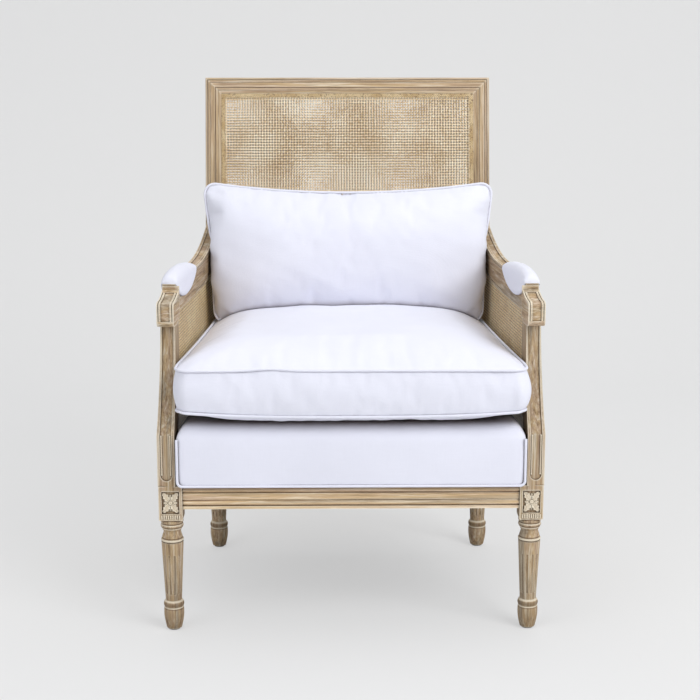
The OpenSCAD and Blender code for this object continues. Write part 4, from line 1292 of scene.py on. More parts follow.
@dataclass
class SideCane:
    """The cane between an arm and the seat rail, doubled so that nothing shines through it.

    The opening is drawn in the side view, as the distance back from the front leg and the height.
    """

    weave: Weave = Weave(strand=0.0011, pair_gap=0.00072, slant=0.0009)
    outer_start: tuple[float, float] = (0.0029, 0.0029)
    inward: float = 0.0034
    apart: float = 0.0006
    far: tuple[float, float] = (0.530, 0.640)
    under_arm: float = 0.588
    knee: float = 0.375
    post_back: float = 0.0203
    arc_r: float = 0.538
    arc_s: float = -0.47529
    arc_z: float = 0.585
    rise_s: float = 0.300
    rise_r: float = 0.536
    arm_high: float = 0.053
    arm_top: float = 0.641
    cove_s: float = 0.0787
    cove_z: float = 0.572
    cove_r: float = 0.016
    margin: float = 0.0035

    def _holds_cane(self, s: np.ndarray, z: np.ndarray) -> np.ndarray:
        """Finds the places that lie in the opening or in its slots.

        Args:
            s: Distances back.
            z: Heights.

        Returns:
            Whether each place holds cane.
        """
        m = self.margin
        arc = self.arc_s + np.sqrt(np.maximum(0.0, self.arc_r ** 2 - (z - self.arc_z) ** 2))
        front = np.where(z < self.knee, self.post_back, arc)
        sweep = np.sqrt(np.maximum(0.0, (self.rise_r + self.arm_high) ** 2 - (s - self.rise_s) ** 2))
        under = np.where(s < self.rise_s, self.under_arm, self.arm_top + self.rise_r - sweep)
        stile = (PLAN.rear_face + (z - PLAN.rail_top) * math.tan(PLAN.rake)) / math.cos(PLAN.side_angle)
        in_cove = (s < self.cove_s) & (z > self.cove_z)
        in_cove &= np.hypot(s - self.cove_s, z - self.cove_z) > self.cove_r + m
        return (s > front - m) & (s < stile + m) & (z > PLAN.rail_top - m) & (z < under + m) & ~in_cove

    def build(self, side: Side, cane: Finish) -> Piece:
        """Builds the sheet of one side: two weaves whose back sides, painted with shade, are turned to each
        other.

        Args:
            side: Side of the chair.
            cane: Finish of the sheet.

        Returns:
            The sheet.
        """
        low = (0.010, PLAN.rail_top - 0.006)
        points, faces = self.weave.strands(low, self.far, self._holds_cane)
        outer_weave = replace(self.weave, start=self.outer_start)
        outer, outer_faces = outer_weave.strands(low, self.far, self._holds_cane)
        outer[:, 2] -= self.apart
        turn = -side.value
        faces = np.concatenate([faces[:, ::turn], outer_faces[:, ::-turn] + len(points)])
        points = np.concatenate([points, outer])
        place = PLAN.side(side, self.inward + points[:, 2], points[:, 0], points[:, 1])
        name = side.name.lower()
        sheet = build_mesh(f"woven_side_{name}", place, faces, smooth=False)
        return enter(sheet, cane, "cane", "frame", f"side_cane_{name}")


# ---- upholstery --------------------------------------------------------------------------------


def seam_places(points: np.ndarray, seam: np.ndarray) -> tuple[np.ndarray, np.ndarray]:
    """Finds each point's distance from a seam, and its place along it.

    Args:
        points: Points of the cover.
        seam: Points along the seam, in order.

    Returns:
        The distances, and the lengths along the seam.
    """
    tree = KDTree(len(seam))
    for i, p in enumerate(seam):
        tree.insert(Vector(p), i)
    tree.balance()
    found = [tree.find(Vector(p)) for p in points]
    length = np.concatenate([[0], np.cumsum(np.linalg.norm(np.diff(seam, axis=0), axis=1))])
    return np.array([f[2] for f in found]), length[np.array([f[1] for f in found])]


def held_at(away: np.ndarray, reach: float = 0.004) -> np.ndarray:
    """Share of a dent that is left near a seam, from almost none at the seam to all of it."""
    return 1 - 0.92 * np.exp(-((away / reach) ** 2))


def pucker(away: np.ndarray, length: np.ndarray, depth: float, reach: float, pitch: float,
           seed: float) -> np.ndarray:
    """Small gathers that run into a seam.

    Args:
        away: Distance of each point of the cover from the seam.
        length: Its place along the seam.
        depth: Depth of a gather.
        reach: Distance over which the gathers fade.
        pitch: Rough spacing of the gathers.
        seed: Start of the random numbers.

    Returns:
        How far each point sinks.
    """
    rng = np.random.default_rng(int(seed * 1000))
    wave = np.zeros(len(away))
    for _ in range(GATHER_WAVES):
        wave += np.sin(length * 2 * np.pi / (pitch * rng.uniform(0.6, 1.9)) + rng.uniform(0, 6.28))
    return depth * np.exp(-away / reach) * (wave / GATHER_WAVES * 1.6)


@dataclass
class SeatCushion:
    """Loose boxed seat cushion with piping round its top and its bottom."""

    front: float = 0.052
    depth: float = 0.504
    half: float = 0.3125
    radius: float = 0.026
    pipe_z: float = 0.500
    border: float = 0.078
    crown: float = 0.036
    square: float = 2.6
    blunt: float = 0.43
    belly: float = 0.030
    rest_z: float = 0.39845
    draw_in: float = 0.0035
    roll: float = 0.009
    fall: float = 0.14
    fall_from: float = 0.2
    fall_over: float = 0.25
    corner_lift: float = 0.005
    wave: float = 0.0034
    wave_x: float = -0.146
    wave_wide: float = 0.038
    wave_deep: float = 0.03
    front_swell: float = 0.0045
    side_swell: float = 0.0015
    left_bulge: float = 0.0015
    right_bulge: float = 0.0065
    bulge_deep: float = 0.045
    settled_below: float = 0.4
    pipe_r: float = 0.0026
    pipe_out: float = 0.0013
    pipe_off: float = 0.0011
    columns: int = 76
    rows: int = 62
    levels: int = 9

    def _plan(self) -> np.ndarray:
        """Plan of a panel: it narrows with the chair and draws in between its corners.

        Returns:
            Places as an array of rows, columns and (x, y).
        """
        grid = rounded_grid(self.columns, self.rows, self.half, self.depth / 2, self.radius)
        u, v = grid[..., 0] / self.half, 2 * grid[..., 1] / self.depth
        y = grid[..., 1] + self.depth / 2 - self.front
        w = self.half - np.maximum(0, y) * math.tan(PLAN.side_angle)
        return np.stack([u * w - np.sign(u) * self.draw_in * np.abs(u) * (1 - v ** 2),
                         y - np.sign(v) * self.draw_in * np.abs(v) * (1 - u ** 2)], -1)

    def _heights(self, plan: np.ndarray) -> tuple[np.ndarray, np.ndarray]:
        """Heights of both panels before the cover settles.

        Args:
            plan: Plan of a panel.

        Returns:
            Heights of the top panel and of the bottom one.
        """
        a, b = unit_grid(self.columns, self.rows)
        x, y = plan[..., 0], plan[..., 1]
        full = ((1 - np.abs(a) ** self.square) * (1 - np.abs(b) ** self.square)) ** self.blunt
        behind = np.maximum(0, (y - self.fall_from) / self.fall_over) ** 2
        top = self.pipe_z + self.crown * full * (1 - self.fall * behind)
        top += self.wave * np.exp(-((x - self.wave_x) / self.wave_wide) ** 2
                                  - ((y + self.front) / self.wave_deep) ** 2)
        low = self.pipe_z - self.border + self.corner_lift * np.abs(a) ** 3 * np.abs(b) ** 3
        roll = self.roll * np.clip((y + self.front) / 0.010, 0, 1) ** 0.6 * (1 - a ** 6)
        return top, np.maximum(self.rest_z, low - self.belly * full ** 1.7 - roll)

    def _wall(self, edge: np.ndarray, normal: np.ndarray, low: np.ndarray,
              high: np.ndarray) -> list[np.ndarray]:
        """Rings of points between the two seams.

        Args:
            edge: Places (x, y) along the seams.
            normal: Direction out of the cushion at each.
            low: Height of the lower seam at each.
            high: Height of the upper seam at each.

        Returns:
            The rings, from the lowest up.
        """
        near = np.exp(-((edge[:, 1] + self.front) / self.bulge_deep) ** 2) * (np.abs(normal[:, 0]) > 0.2)
        bulge = near * np.where(edge[:, 0] > 0, self.right_bulge, self.left_bulge)
        rings = []
        for k in range(1, self.levels):
            t = k / self.levels
            swell = np.where(edge[:, 1] < -0.02, self.front_swell, self.side_swell) * math.sin(math.pi * t)
            swell += bulge * math.sin(math.pi * t ** 0.8)
            rings.append(np.column_stack([edge + normal * swell[:, None], low * (1 - t) + high * t]))
        return rings

    def build(self, linen: Finish, piping: Finish) -> list[Piece]:
        """Builds the cushion, then its piping along the seams that the cover settled to.

        Args:
            linen: Finish of the cover.
            piping: Finish of the piping.

        Returns:
            The cover and the two rows of piping.
        """
        plan = self._plan()
        top, bottom = (heights.ravel() for heights in self._heights(plan))
        count = (self.columns + 1) * (self.rows + 1)
        border = border_of(self.columns, self.rows)
        flat = plan.reshape(-1, 2)
        normal = outward(flat[border])
        wall = self._wall(flat[border], normal, bottom[border], top[border])
        points = np.vstack([np.column_stack([flat, top]), np.column_stack([flat, bottom]), *wall])
        points[:, 1] += PLAN.shift_y
        n = len(border)
        faces = strip_faces(self.rows + 1, self.columns + 1)
        faces += strip_faces(self.rows + 1, self.columns + 1, start=count, flip=True)
        between = [2 * count + k * n + np.arange(n) for k in range(self.levels - 1)]
        faces += wall_faces([count + border, *between, border])
        cushion = build_mesh("seat_cushion_cover", points, faces)
        settle(cushion, [*border, *(count + border)], pressure=3.2, slack=0.012, most=0.016)
        placed = points_of(cushion)
        sunk = bottom + self.settled_below * (placed[count:2 * count, 2] - bottom)
        placed[count:2 * count, 2] = np.maximum(sunk, self.rest_z)
        set_points(cushion, placed)
        top_seam, low_seam = placed[border], placed[count + border]
        refine(cushion, (border, count + border))
        self._finish(cushion, top_seam, low_seam)
        enter(cushion, linen, "linen", "seat_cushion", "seat_cushion")
        out = np.column_stack([normal, np.zeros(n)]) * self.pipe_out
        rise = np.array([0, 0, self.pipe_off])
        high_pipe = tube("seat_piping_top", top_seam + out + rise, self.pipe_r, True)
        enter(high_pipe, piping, "piping", "seat_cushion", "seat_cushion_piping")
        low_pipe = tube("seat_piping_bottom", low_seam + out - rise, self.pipe_r, True)
        enter(low_pipe, piping, "piping", "seat_cushion")
        return [cushion, high_pipe, low_pipe]

    def _finish(self, cushion: Piece, top_seam: np.ndarray, low_seam: np.ndarray) -> None:
        """Adds gathers along the seams and soft dents to the panels.

        Args:
            cushion: The cover.
            top_seam: Points along the upper seam.
            low_seam: Points along the lower seam.
        """
        points = points_of(cushion)
        above, below = seam_places(points, top_seam), seam_places(points, low_seam)
        sink = pucker(*above, 0.0010, 0.014, 0.022, 1.0) + pucker(*below, 0.0010, 0.014, 0.024, 2.0)
        sink += 0.0011 * ripple(points, 0.17, 3.0) + 0.0005 * ripple(points, 0.06, 4.0)
        sink *= held_at(np.minimum(above[0], below[0]))
        points -= points_of(cushion, "normal") * sink[:, None]
        points[:, 2] = np.maximum(points[:, 2], self.rest_z)
        set_points(cushion, points)


@dataclass
class BackCushion:
    """Loose knife-edged back cushion with piping round its one seam.

    It is drawn on the leaning back, as the distance across, the depth and the height up the lean.
    """

    half: float = 0.294
    waist: float = 0.2752
    high: float = 0.284
    up: float = 0.205
    back: float = 0.100
    crown: float = 0.05624
    rear_crown: float = 0.112
    side_square: float = 4.2
    end_square: float = 2.2
    blunt: float = 0.52
    dip: float = 0.0225
    ears: float = 0.0037
    bulge: float = 0.24
    radius: float = 0.027
    arm_up: float = 0.361
    clear: float = 0.0006
    soft: float = 0.004
    between_arms: float = 0.2790
    pipe_r: float = 0.0026
    pipe_out: float = 0.0014
    pipe_clear: float = 0.0030
    columns: int = 72
    rows: int = 36
    # Place across, slope, length, width and depth of each crease that rises from the bottom edge.
    creases: tuple[tuple[float, ...], ...] = (
        (-0.205, 0.25, 0.05, 0.010, 0.0040), (-0.085, -0.15, 0.045, 0.009, 0.0035),
        (0.012, 0.1, 0.04, 0.008, 0.003), (0.165, -0.3, 0.06, 0.012, 0.0045))
    # The same of the pinches that run down from the top edge.
    pinches: tuple[tuple[float, ...], ...] = (
        (-0.012, 0.35, 0.035, 0.008, 0.0055), (0.006, -0.2, 0.035, 0.008, 0.0035))

    def _plan(self) -> np.ndarray:
        """Face view of the cushion: waisted between the arms, with a dip in its top edge.

        Returns:
            Places as an array of rows, columns and (across, up).
        """
        grid = rounded_grid(self.columns, self.rows, self.half, self.high / 2, self.radius)
        u, v = grid[..., 0] / self.half, 2 * grid[..., 1] / self.high
        middle = self.up + self.high / 2
        arm_v = 2 * (self.arm_up / math.cos(PLAN.rake) + 0.004 - middle) / self.high
        over = np.maximum(0, (v - arm_v) / (1 - arm_v))
        w = self.waist + (self.half - self.waist) * over ** 0.7 - np.where(v < 0, 0.005 * v ** 2, 0)
        shift = np.where(v > 0, v ** 2 * (self.ears - self.dip * (1 - u ** 2)), 0)
        return np.stack([u * w, middle + grid[..., 1] + shift], -1)

    def _cover(self) -> tuple[Piece, np.ndarray]:
        """Makes the cover and lets it settle.

        Returns:
            The cover, and the points along its seam.
        """
        plan = self._plan()
        a, b = unit_grid(self.columns, self.rows)
        full = ((1 - np.abs(a) ** self.side_square) * (1 - np.abs(b) ** self.end_square)) ** self.blunt
        front = (-self.back - self.crown * full).ravel()
        rear = np.minimum(-self.clear, -self.back + self.rear_crown * full).ravel()
        x, h = plan[..., 0].ravel(), plan[..., 1].ravel()
        sides = np.clip((0.425 - h) / 0.06, 0, 1) * np.clip((h - self.up - 0.012) / 0.07, 0, 1)
        wide = x * (1 + self.bulge * (a ** 2 * (1 - a ** 8)).ravel() * sides)
        count = (self.columns + 1) * (self.rows + 1)
        border = border_of(self.columns, self.rows)
        inner = np.setdiff1d(np.arange(count), border)
        number = np.arange(count)
        number[inner] = count + np.arange(len(inner))
        points = np.vstack([PLAN.lean(wide, front, h), PLAN.lean(x[inner], rear[inner], h[inner])])
        faces = strip_faces(self.rows + 1, self.columns + 1)
        faces += number[strip_faces(self.rows + 1, self.columns + 1, flip=True)].tolist()
        cushion = build_mesh("back_cushion_cover", points, faces)
        settle(cushion, border, pressure=3.4, slack=0.022, most=0.022, stiffness=9.0)
        seam = points_of(cushion)[border]
        refine(cushion, (border,))
        return cushion, seam

    def build(self, seat: Piece, linen: Finish, piping: Finish) -> list[Piece]:
        """Builds the cushion resting on the seat cushion.

        Args:
            seat: The seat cushion's cover.
            linen: Finish of the cover.
            piping: Finish of the piping.

        Returns:
            The cushion and its piping.
        """
        cushion, seam = self._cover()
        set_points(cushion, self._rest(self._kept_clear(self._crease(cushion, seam)), seat, self.clear))
        enter(cushion, linen, "linen", "back_cushion", "back_cushion")
        away = seam - seam.mean(0)
        away /= np.linalg.norm(away, axis=1)[:, None]
        path = self._rest(seam + away * self.pipe_out, seat, self.pipe_clear)
        pipe = tube("back_piping", path, self.pipe_r, True)
        enter(pipe, piping, "piping", "back_cushion", "back_cushion_piping")
        return [cushion, pipe]

    def _crease(self, cushion: Piece, seam: np.ndarray) -> np.ndarray:
        """Adds gathers at the seam, a pinch at the top and creases that rise from the bottom edge.

        Args:
            cushion: The cover.
            seam: Points along its seam.

        Returns:
            The cover's points.
        """
        points = points_of(cushion)
        away, length = seam_places(points, seam)
        sink = pucker(away, length, 0.0016, 0.016, 0.030, 5.0)
        up = (points[:, 2] - PLAN.rail_top) / math.cos(PLAN.rake)
        for folds, ahead in ((self.creases, up - self.up), (self.pinches, self.up + self.high - up)):
            for x0, slope, long, width, depth in folds:
                line = x0 + slope * ahead
                fade = np.exp(-np.maximum(0, ahead) / long)
                sink += depth * np.exp(-((points[:, 0] - line) / width) ** 2) * fade
        sink += 0.0016 * ripple(points, 0.15, 6.0) + 0.0006 * ripple(points, 0.05, 7.0)
        return points - points_of(cushion, "normal") * (sink * held_at(away))[:, None]

    def _kept_clear(self, points: np.ndarray) -> np.ndarray:
        """Keeps the cushion in front of the back and between the arms.

        Args:
            points: Points of the cover.

        Returns:
            The points, flattened where they would reach the back or an arm.
        """
        cos, sin = math.cos(PLAN.rake), math.sin(PLAN.rake)
        local = points[:, 1] - PLAN.shift_y - PLAN.rear_face
        depth = local * cos - (points[:, 2] - PLAN.rail_top) * sin
        past = np.maximum(0, depth + self.clear)
        points[:, 1] -= past * cos
        points[:, 2] += past * sin
        ahead, up = -depth - self.back, (points[:, 2] - PLAN.rail_top) / cos
        most = self.between_arms + 0.0025 * np.clip(ahead / 0.025, 0, 1)
        most += 0.04 * np.clip((up - 0.372) / 0.05, 0, 1) ** 2
        x = points[:, 0]
        over = np.maximum(0, np.abs(x) - most + self.soft)
        pressed = np.sign(x) * (most - self.soft * np.exp(-over / self.soft))
        points[:, 0] = np.where(over > 0, pressed, x)
        return points

    def _rest(self, points: np.ndarray, seat: Piece, gap: float) -> np.ndarray:
        """Lifts points that would sink into the seat cushion onto its surface.

        Args:
            points: Points to lift.
            seat: The seat cushion's cover.
            gap: Distance to leave above it.

        Returns:
            The lifted points.
        """
        tree = BVHTree.FromObject(seat, bpy.context.evaluated_depsgraph_get())
        points = points.copy()
        for i in np.nonzero(points[:, 2] < 0.60)[0]:
            hit = tree.ray_cast(Vector((points[i][0], points[i][1], 0.9)), Vector((0, 0, -1)))[0]
            if hit is not None and hit.z + gap > points[i][2]:
                points[i][2] = hit.z + gap
        return points


@dataclass
class SeatDeck:
    """Upholstered deck on the seat frame, with piping along its front."""

    front: float = 0.030
    half: float = 0.3155
    rear: float = 0.4415
    radius: float = 0.007
    low_z: float = 0.2841
    foot_z: float = 0.2806
    edge_z: float = 0.3745
    top_z: float = 0.398
    rail_thick: float = 0.0115
    front_swell: float = 0.0028
    turned_in: float = 0.006
    pipe_r: float = 0.0025
    pipe_z: float = 0.2828
    pipe_top: float = 0.370
    pipe_bend: float = 0.009
    columns: int = 60
    rows: int = 44
    levels: int = 12

    def _cover(self) -> Piece:
        """Makes the cover.

        Returns:
            The cover.
        """
        grid = rounded_grid(self.columns, self.rows, self.half, (self.rear + self.front) / 2, self.radius)
        y = grid[..., 1] + (self.rear - self.front) / 2
        reach = PLAN.front_x - self.rail_thick / math.cos(PLAN.side_angle) - 0.0005
        x = grid[..., 0] / self.half * np.minimum(self.half, reach - y * math.tan(PLAN.side_angle))
        a, b = unit_grid(self.columns, self.rows)
        bend = np.clip((np.maximum(np.abs(a), np.abs(b)) - 0.90) / 0.10, 0, 1)
        top = self.edge_z + (self.top_z - self.edge_z) * np.sqrt(np.clip(1 - bend ** 2, 0, 1))
        count = (self.columns + 1) * (self.rows + 1)
        border = border_of(self.columns, self.rows)
        high = np.column_stack([x.ravel(), y.ravel(), top.ravel()])
        edge = high[border][:, :2]
        normal = outward(edge)
        foot_z = np.where(edge[:, 1] < -0.022, self.foot_z, self.low_z)
        wall = []
        for k in range(self.levels):
            t = k / self.levels
            swell = np.where(edge[:, 1] < -0.025, self.front_swell, 0.0) * math.sin(math.pi * (0.1 + 0.8 * t))
            wall.append(np.column_stack([edge + normal * swell[:, None], foot_z + (self.edge_z - foot_z) * t]))
        inner = np.column_stack([edge - normal * self.turned_in, np.full(len(edge), self.low_z)])
        points = np.vstack([high, *wall, inner])
        points[:, 1] += PLAN.shift_y
        n = len(border)
        rings = [count + k * n + np.arange(n) for k in (self.levels, *range(self.levels))] + [border]
        faces = strip_faces(self.rows + 1, self.columns + 1) + wall_faces(rings)
        faces.append(rings[0][::-1].tolist())
        deck = build_mesh("deck_cover", points, faces)
        refine(deck, (rings[1],))
        spots = points_of(deck)
        front = spots[:, 1] < PLAN.shift_y - self.front + 0.02
        dents = 0.0006 * ripple(spots, 0.12, 8.0) + 0.0003 * ripple(spots, 0.04, 9.0)
        spots[:, 1] += np.where(front, dents, 0)
        set_points(deck, spots)
        return deck

    def build(self, linen: Finish, piping: Finish) -> list[Piece]:
        """Builds the deck and its piping.

        Args:
            linen: Finish of the cover.
            piping: Finish of the piping.

        Returns:
            The cover and the piping.
        """
        deck = enter(self._cover(), linen, "linen", "frame", "seat_deck")
        pipe = tube("deck_front_piping", self._pipe_path(), self.pipe_r, False)
        return [deck, enter(pipe, piping, "piping", "frame", "deck_piping")]

    def _pipe_path(self) -> np.ndarray:
        """Path of the piping: up one corner of the front, along the bottom and up the other.

        Returns:
            Points along the path.
        """
        x, z, bend, high = self.half - 0.0013, self.pipe_z, self.pipe_bend, self.pipe_top
        half = [(x, high - (high - z - bend) * k / 8) for k in range(8)]
        half += [(x - bend + bend * math.cos(a), z + bend - bend * math.sin(a))
                 for a in np.linspace(0, math.pi / 2, 8)]
        across = [(x - bend - 2 * (x - bend) * k / 60, z) for k in range(1, 60)]
        whole = half + across + [(-px, pz) for px, pz in half[::-1]]
        y = -self.front - self.pipe_r + 0.0003 + PLAN.shift_y
        return np.array([(px, y, pz) for px, pz in whole])


@dataclass
class ArmPad:
    """Padded saddle over an arm, crowned along its length, with a half-moon flap down each side."""

    start: float = 0.0421
    end: float = 0.245
    out: float = 0.01585
    into: float = 0.00885
    arm_top: float = 0.641
    crown: float = 0.017
    wall: float = 0.0052
    flap: float = 0.034
    end_high: float = 0.005
    end_wall: float = 0.0016
    stations: int = 46
    arc_points: int = 25

    def _hump(self, t: float, lean: float, blunt: float) -> float:
        """Rise along the pad: 0 at its ends, 1 at its highest."""
        return math.sin(math.pi * t ** lean) ** blunt if 0 < t < 1 else 0.0

    def _section(self, t: float) -> list[tuple[float, float]]:
        """Outline of the pad across the arm.

        Args:
            t: Place along the pad, from 0 to 1.

        Returns:
            Places as (inward, height).
        """
        crown = self.end_high + self.crown * self._hump(t, 0.62, 0.6)
        wall = self.end_wall + (self.wall - self.end_wall) * self._hump(t, 1.0, 0.4)
        drop = self.end_high + (self.flap - self.end_high) * self._hump(t, 0.85, 0.8)
        low = self.arm_top - drop
        flaps = []
        for face, way in ((-self.out, -1), (self.into, 1)):
            flap = [(face + way * 0.0003, low), (face + way * wall * 0.55, low + 0.0006),
                    (face + way * wall * 0.95, low + 0.003)]
            flaps.append(flap + [(face + way * wall, low + 0.003 + (drop - 0.006) * k / 4) for k in (1, 2, 3)])
        middle, half = (self.into - self.out) / 2, (self.out + self.into) / 2 + wall
        arc = []
        for k in range(self.arc_points):
            angle = math.pi * k / (self.arc_points - 1)
            rise = (crown + 0.003) * math.sin(angle) ** 0.72
            arc.append((middle - half * math.cos(angle), self.arm_top - 0.003 + rise))
        under = [(self.into, self.arm_top + 0.0004), (-self.out, self.arm_top + 0.0004)]
        return flaps[0] + arc + flaps[1][::-1] + under

    def build(self, side: Side, linen: Finish) -> Piece:
        """Builds the pad of one arm.

        Args:
            side: Side of the chair.
            linen: Finish of the pad.

        Returns:
            The pad.
        """
        rows = []
        for t in (i / (self.stations - 1) for i in range(self.stations)):
            s = self.start + (self.end - self.start) * t
            rows.append([(inward, s, z) for inward, z in self._section(t)])
        n = len(rows[0])
        flat = np.array(rows).reshape(-1, 3)
        place = PLAN.side(side, flat[:, 0], flat[:, 1], flat[:, 2])
        last = (self.stations - 1) * n
        faces = strip_faces(self.stations, n, closed_columns=True)
        faces += [list(range(n))[::-1], list(range(last, last + n))]
        if side is Side.RIGHT:
            faces = [face[::-1] for face in faces]
        name = side.name.lower()
        pad = build_mesh(f"pad_{name}", place, faces)
        spots = points_of(pad)
        spots[:, 2] += np.where(spots[:, 2] > self.arm_top + 0.004, 0.0006 * ripple(spots, 0.05, 11.0), 0)
        set_points(pad, spots)
        enter(pad, linen, "linen", "frame", f"arm_pad_{name}")
        return pad


@dataclass
class SeatStraps:
    """Jute straps across the seat frame and over them from front to rear."""

    wide: float = 0.050
    thick: float = 0.0018
    across: int = 5
    lengthwise: int = 6
    front: float = 0.0435
    rear_gap: float = 0.022
    side_gap: float = 0.0075
    clear: float = 0.0001
    stations: int = 30
    # Outline of a strap, as shares of its width and of its thickness.
    section: tuple[tuple[float, float], ...] = (
        (-0.5, 0.15), (-0.49, 0.0), (0.49, 0.0), (0.5, 0.15), (0.5, 0.85), (0.49, 1.0), (-0.49, 1.0),
        (-0.5, 0.85))

    def _strap(self, start: Sequence[float], end: Sequence[float], z: float) -> Mesh:
        """One strap.

        Args:
            start: Place (x, y) of one end.
            end: Place of the other end.
            z: Height of its underside.

        Returns:
            The strap's points and faces.
        """
        first, run = np.array(start), np.array(end) - np.array(start)
        along = run / np.linalg.norm(run)
        sideways = np.array([-along[1], along[0]])
        ring = []
        for k in range(self.stations):
            spot = first + run * k / (self.stations - 1)
            for w, h in self.section:
                x, y = spot + sideways * w * self.wide
                ring.append((x, y + PLAN.shift_y, z + h * self.thick))
        n = len(self.section)
        last = (self.stations - 1) * n
        faces = strip_faces(self.stations, n, closed_columns=True)
        faces += [list(range(n))[::-1], list(range(last, last + n))]
        return np.array(ring), faces

    def build(self, jute: Finish) -> Piece:
        """Builds the straps as one piece.

        Args:
            jute: Finish of the straps.

        Returns:
            The straps.
        """
        straps = []
        room = PLAN.rear_face - self.rear_gap - self.front - self.wide
        for i in range(self.across):
            y = self.front + self.wide / 2 + room * i / (self.across - 1)
            half = PLAN.front_x - (y + self.wide / 2) * math.tan(PLAN.side_angle) - self.side_gap
            straps.append(self._strap((-half, y), (half, y), PLAN.rail_top + self.clear))
        edge = PLAN.rear_x - PLAN.half_block - 0.002
        for i in range(self.lengthwise):
            x = -edge + self.wide / 2 + (2 * edge - self.wide) * i / (self.lengthwise - 1)
            straps.append(self._strap((x, -0.0105), (x, PLAN.rear_face + 0.030),
                                      PLAN.rail_top + self.thick + self.clear))
        points, faces = merged(straps)
        piece = build_mesh("jute_straps", points, faces, smooth=False)
        return enter(piece, jute, "webbing", "frame", "seat_webbing")


@dataclass
class DustCloth:
    """Thin cloth stretched under the seat frame, cut out round the legs."""

    sag: float = 0.003
    cell: float = 0.008
    rail_half: float = 0.020
    lap: float = 0.013
    leg_gap: float = 0.001

    def build(self, cloth: Finish) -> Piece:
        """Builds the cloth as one sheet.

        Args:
            cloth: Finish of the sheet.

        Returns:
            The sheet.
        """
        low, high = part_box("dust_cover")
        nx, ny = int((high[0] - low[0]) / self.cell), int((high[1] - low[1]) / self.cell)
        u, v = np.meshgrid(np.linspace(-1, 1, nx + 1), np.linspace(0, 1, ny + 1))
        y = low[1] + (high[1] - low[1]) * v
        y_leg = y - PLAN.shift_y
        half = PLAN.front_x - y_leg * math.tan(PLAN.side_angle)
        x = u * (half - self.rail_half / math.cos(PLAN.side_angle) + self.lap)
        z = low[2] + 0.0004 - self.sag * (1 - u ** 2) * np.sin(np.pi * v)
        gap = PLAN.half_block + self.leg_gap
        blocked = np.zeros(x.shape, bool)
        for sx in (-1, 1):
            for leg_x, leg_y in ((PLAN.front_x, 0.0), (PLAN.rear_x, PLAN.leg_depth)):
                blocked |= (np.abs(x - sx * leg_x) < gap) & (np.abs(y_leg - leg_y) < gap)
        faces = [f for f in strip_faces(ny + 1, nx + 1, flip=True) if not blocked.ravel()[f].any()]
        points = np.column_stack([x.ravel(), y.ravel(), z.ravel()])
        piece = build_mesh("dust_cloth_sheet", points, faces)
        enter(piece, cloth, "dust_cloth", "frame", "dust_cover")
        return piece


# ---- studio ------------------------------------------------------------------------------------


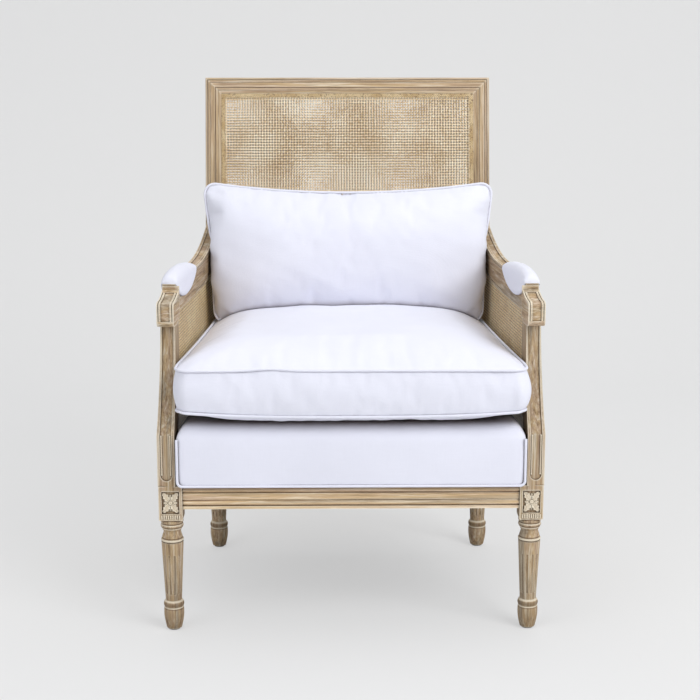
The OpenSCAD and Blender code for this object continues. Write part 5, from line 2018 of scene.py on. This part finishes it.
@dataclass
class Studio:
    """Pale sweep, soft lamps and the camera."""

    sweep: Colour = (0.80, 0.80, 0.80)
    shown: Colour = (0.805, 0.805, 0.805)
    soften: float = 0.58
    front_edge: float = -5.0
    half_wide: float = 6.0
    bend_from: float = 1.6
    bend: float = 1.2
    wall_top: float = 6.0
    lamp_size: float = 2.4
    # Name, place, power and aim of each lamp.
    lamps: tuple[tuple[str, Triple, float, Triple], ...] = (
        ("key", (2.5, -2.7, 2.9), 103.0, (0, 0, 0.45)), ("fill", (-2.7, -2.6, 2.5), 29.0, (0, 0, 0.45)),
        ("top", (0.0, 0.2, 3.4), 17.0, (0, 0, 0.3)))
    room_colour: Colour = (0.95, 0.97, 1.0)
    room_light: tuple[float, float] = (0.22, 0.72)
    lens: float = 80.43
    place: Triple = (-0.03685, -2.74542, 1.11136)
    yaw: float = 0.7268
    pitch: float = 12.0

    def camera(self) -> None:
        """Places the camera at the photograph's angle."""
        data = bpy.data.cameras.new("camera")
        data.lens = self.lens
        data.sensor_width = 36.0
        camera = bpy.data.objects.new("camera", data)
        camera.location = (self.place[0], self.place[1] + PLAN.shift_y, self.place[2])
        camera.rotation_euler = Euler((math.radians(90 - self.pitch), 0, math.radians(-self.yaw)))
        bpy.context.scene.collection.objects.link(camera)
        bpy.context.scene.camera = camera

    def lamp(self, name: str, place: Sequence[float], power: float, aim: Sequence[float]) -> None:
        """Adds a square soft lamp.

        Args:
            name: Name of the lamp.
            place: Where it stands.
            power: Its power in watts.
            aim: The place that it points at.
        """
        data = bpy.data.lights.new(name, "AREA")
        data.size = self.lamp_size
        data.energy = power
        lamp = bpy.data.objects.new(name, data)
        lamp.location = place
        lamp.rotation_euler = (Vector(aim) - Vector(place)).to_track_quat("-Z", "Y").to_euler()
        bpy.context.scene.collection.objects.link(lamp)

    def floor(self) -> None:
        """Adds the floor, which sweeps up into the backdrop."""
        curve = [(self.bend_from + self.bend * math.sin(a), self.bend - self.bend * math.cos(a))
                 for a in np.linspace(0.1, math.pi / 2, 14)]
        line = [(self.front_edge, 0.0), (self.bend_from, 0.0), *curve,
                (self.bend_from + self.bend, self.wall_top)]
        points = np.array([(x, y, z) for y, z in line for x in (-self.half_wide, self.half_wide)])
        sweep = build_mesh("sweep", points, strip_faces(len(line), 2, flip=True))
        bench = Bench("pale_sweep")
        for key, value in (("Roughness", 0.9), ("Specular IOR Level", 0.1), ("Base Color", self.sweep)):
            bench.feed(value, bench.shader.inputs[key])
        pale = bench.add("ShaderNodeEmission")
        bench.feed(self.shown, pale.inputs["Color"])
        seen = bench.add("ShaderNodeLightPath").outputs["Is Camera Ray"]
        blend = bench.add("ShaderNodeMixShader")
        bench.feed(bench.combine("MULTIPLY", seen, self.soften), blend.inputs["Fac"])
        bench.feed(bench.shader.outputs["BSDF"], blend.inputs[1])
        bench.feed(pale.outputs["Emission"], blend.inputs[2])
        bench.feed(blend.outputs["Shader"], bench.tree.nodes["Material Output"].inputs["Surface"])
        dress(sweep, bench.material)

    def room(self) -> None:
        """Adds soft light all round, strongest from overhead."""
        world = bpy.data.worlds.new("soft_room")
        world.use_nodes = True
        tree = world.node_tree
        split = tree.nodes.new("ShaderNodeSeparateXYZ")
        rise = tree.nodes.new("ShaderNodeMapRange")
        for key, number in zip(("From Min", "From Max", "To Min", "To Max"), (0.0, 0.8, *self.room_light)):
            rise.inputs[key].default_value = number
        glow = tree.nodes["Background"]
        glow.inputs["Color"].default_value = (*self.room_colour, 1.0)
        tree.links.new(tree.nodes.new("ShaderNodeTexCoord").outputs["Generated"], split.inputs["Vector"])
        tree.links.new(split.outputs["Z"], rise.inputs["Value"])
        tree.links.new(rise.outputs["Result"], glow.inputs["Strength"])
        bpy.context.scene.world = world

    def build(self) -> None:
        """Builds the whole studio, the camera first."""
        bpy.context.scene.view_settings.view_transform = "Standard"
        self.camera()
        self.floor()
        for lamp in self.lamps:
            self.lamp(*lamp)
        self.room()


# ---- assembly ----------------------------------------------------------------------------------


def report(pieces: Iterable[Piece]) -> None:
    """Logs the name and size of each piece."""
    for piece in pieces:
        log.info("%s: %d faces", piece.name, len(piece.data.polygons))


def main() -> None:
    """Builds the studio, then dresses the chair from its timber to its cushions."""
    logging.basicConfig(level=logging.INFO, format="%(name)s: %(message)s")
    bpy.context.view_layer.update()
    Studio().build()
    oak = TimberFrame().dress()
    cane, reed = CaneSkin().make(), WrappedReed().make()
    # Its inner colour is painted shade on the back sides of both weaves.
    side_cane = CaneSkin("side_cane", dark=(0.64, 0.43, 0.19), light=(0.89, 0.65, 0.33),
                         pale=(0.99, 0.84, 0.52), inner=(0.15, 0.085, 0.03)).make()
    linen, piping = Linen().make(), Linen("linen_piping", yarn=0.0009).make()
    # The deck's linen gets a strong brown painted shadow in the gap under the seat cushion.
    deck_linen = Linen("linen_deck", shade=(0.10, 0.068, 0.056), reach=0.046, gap_share=0.97).make()
    jute = PlainFinish("jute", (0.46, 0.34, 0.19), 0.9, 0.0, 700.0).make()
    black = PlainFinish("black_cloth", (0.02, 0.02, 0.022), 0.95, 0.0, 900.0).make()
    report(CarvedBlocks().build(side, oak[Grain.CARVED]) for side in Side)
    report(BackCane().build(cane, reed))
    report(SideCane().build(side, side_cane) for side in Side)
    for side in Side:
        dress(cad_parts[f"side_reed_{side.name.lower()}"], reed)
    seat = SeatCushion().build(linen, piping)
    report(seat)
    report(BackCushion().build(seat[0], linen, piping))
    report(SeatDeck().build(deck_linen, piping))
    report(ArmPad().build(side, linen) for side in Side)
    report([SeatStraps().build(jute), DustCloth().build(black)])


if __name__ == "__main__":
    main()
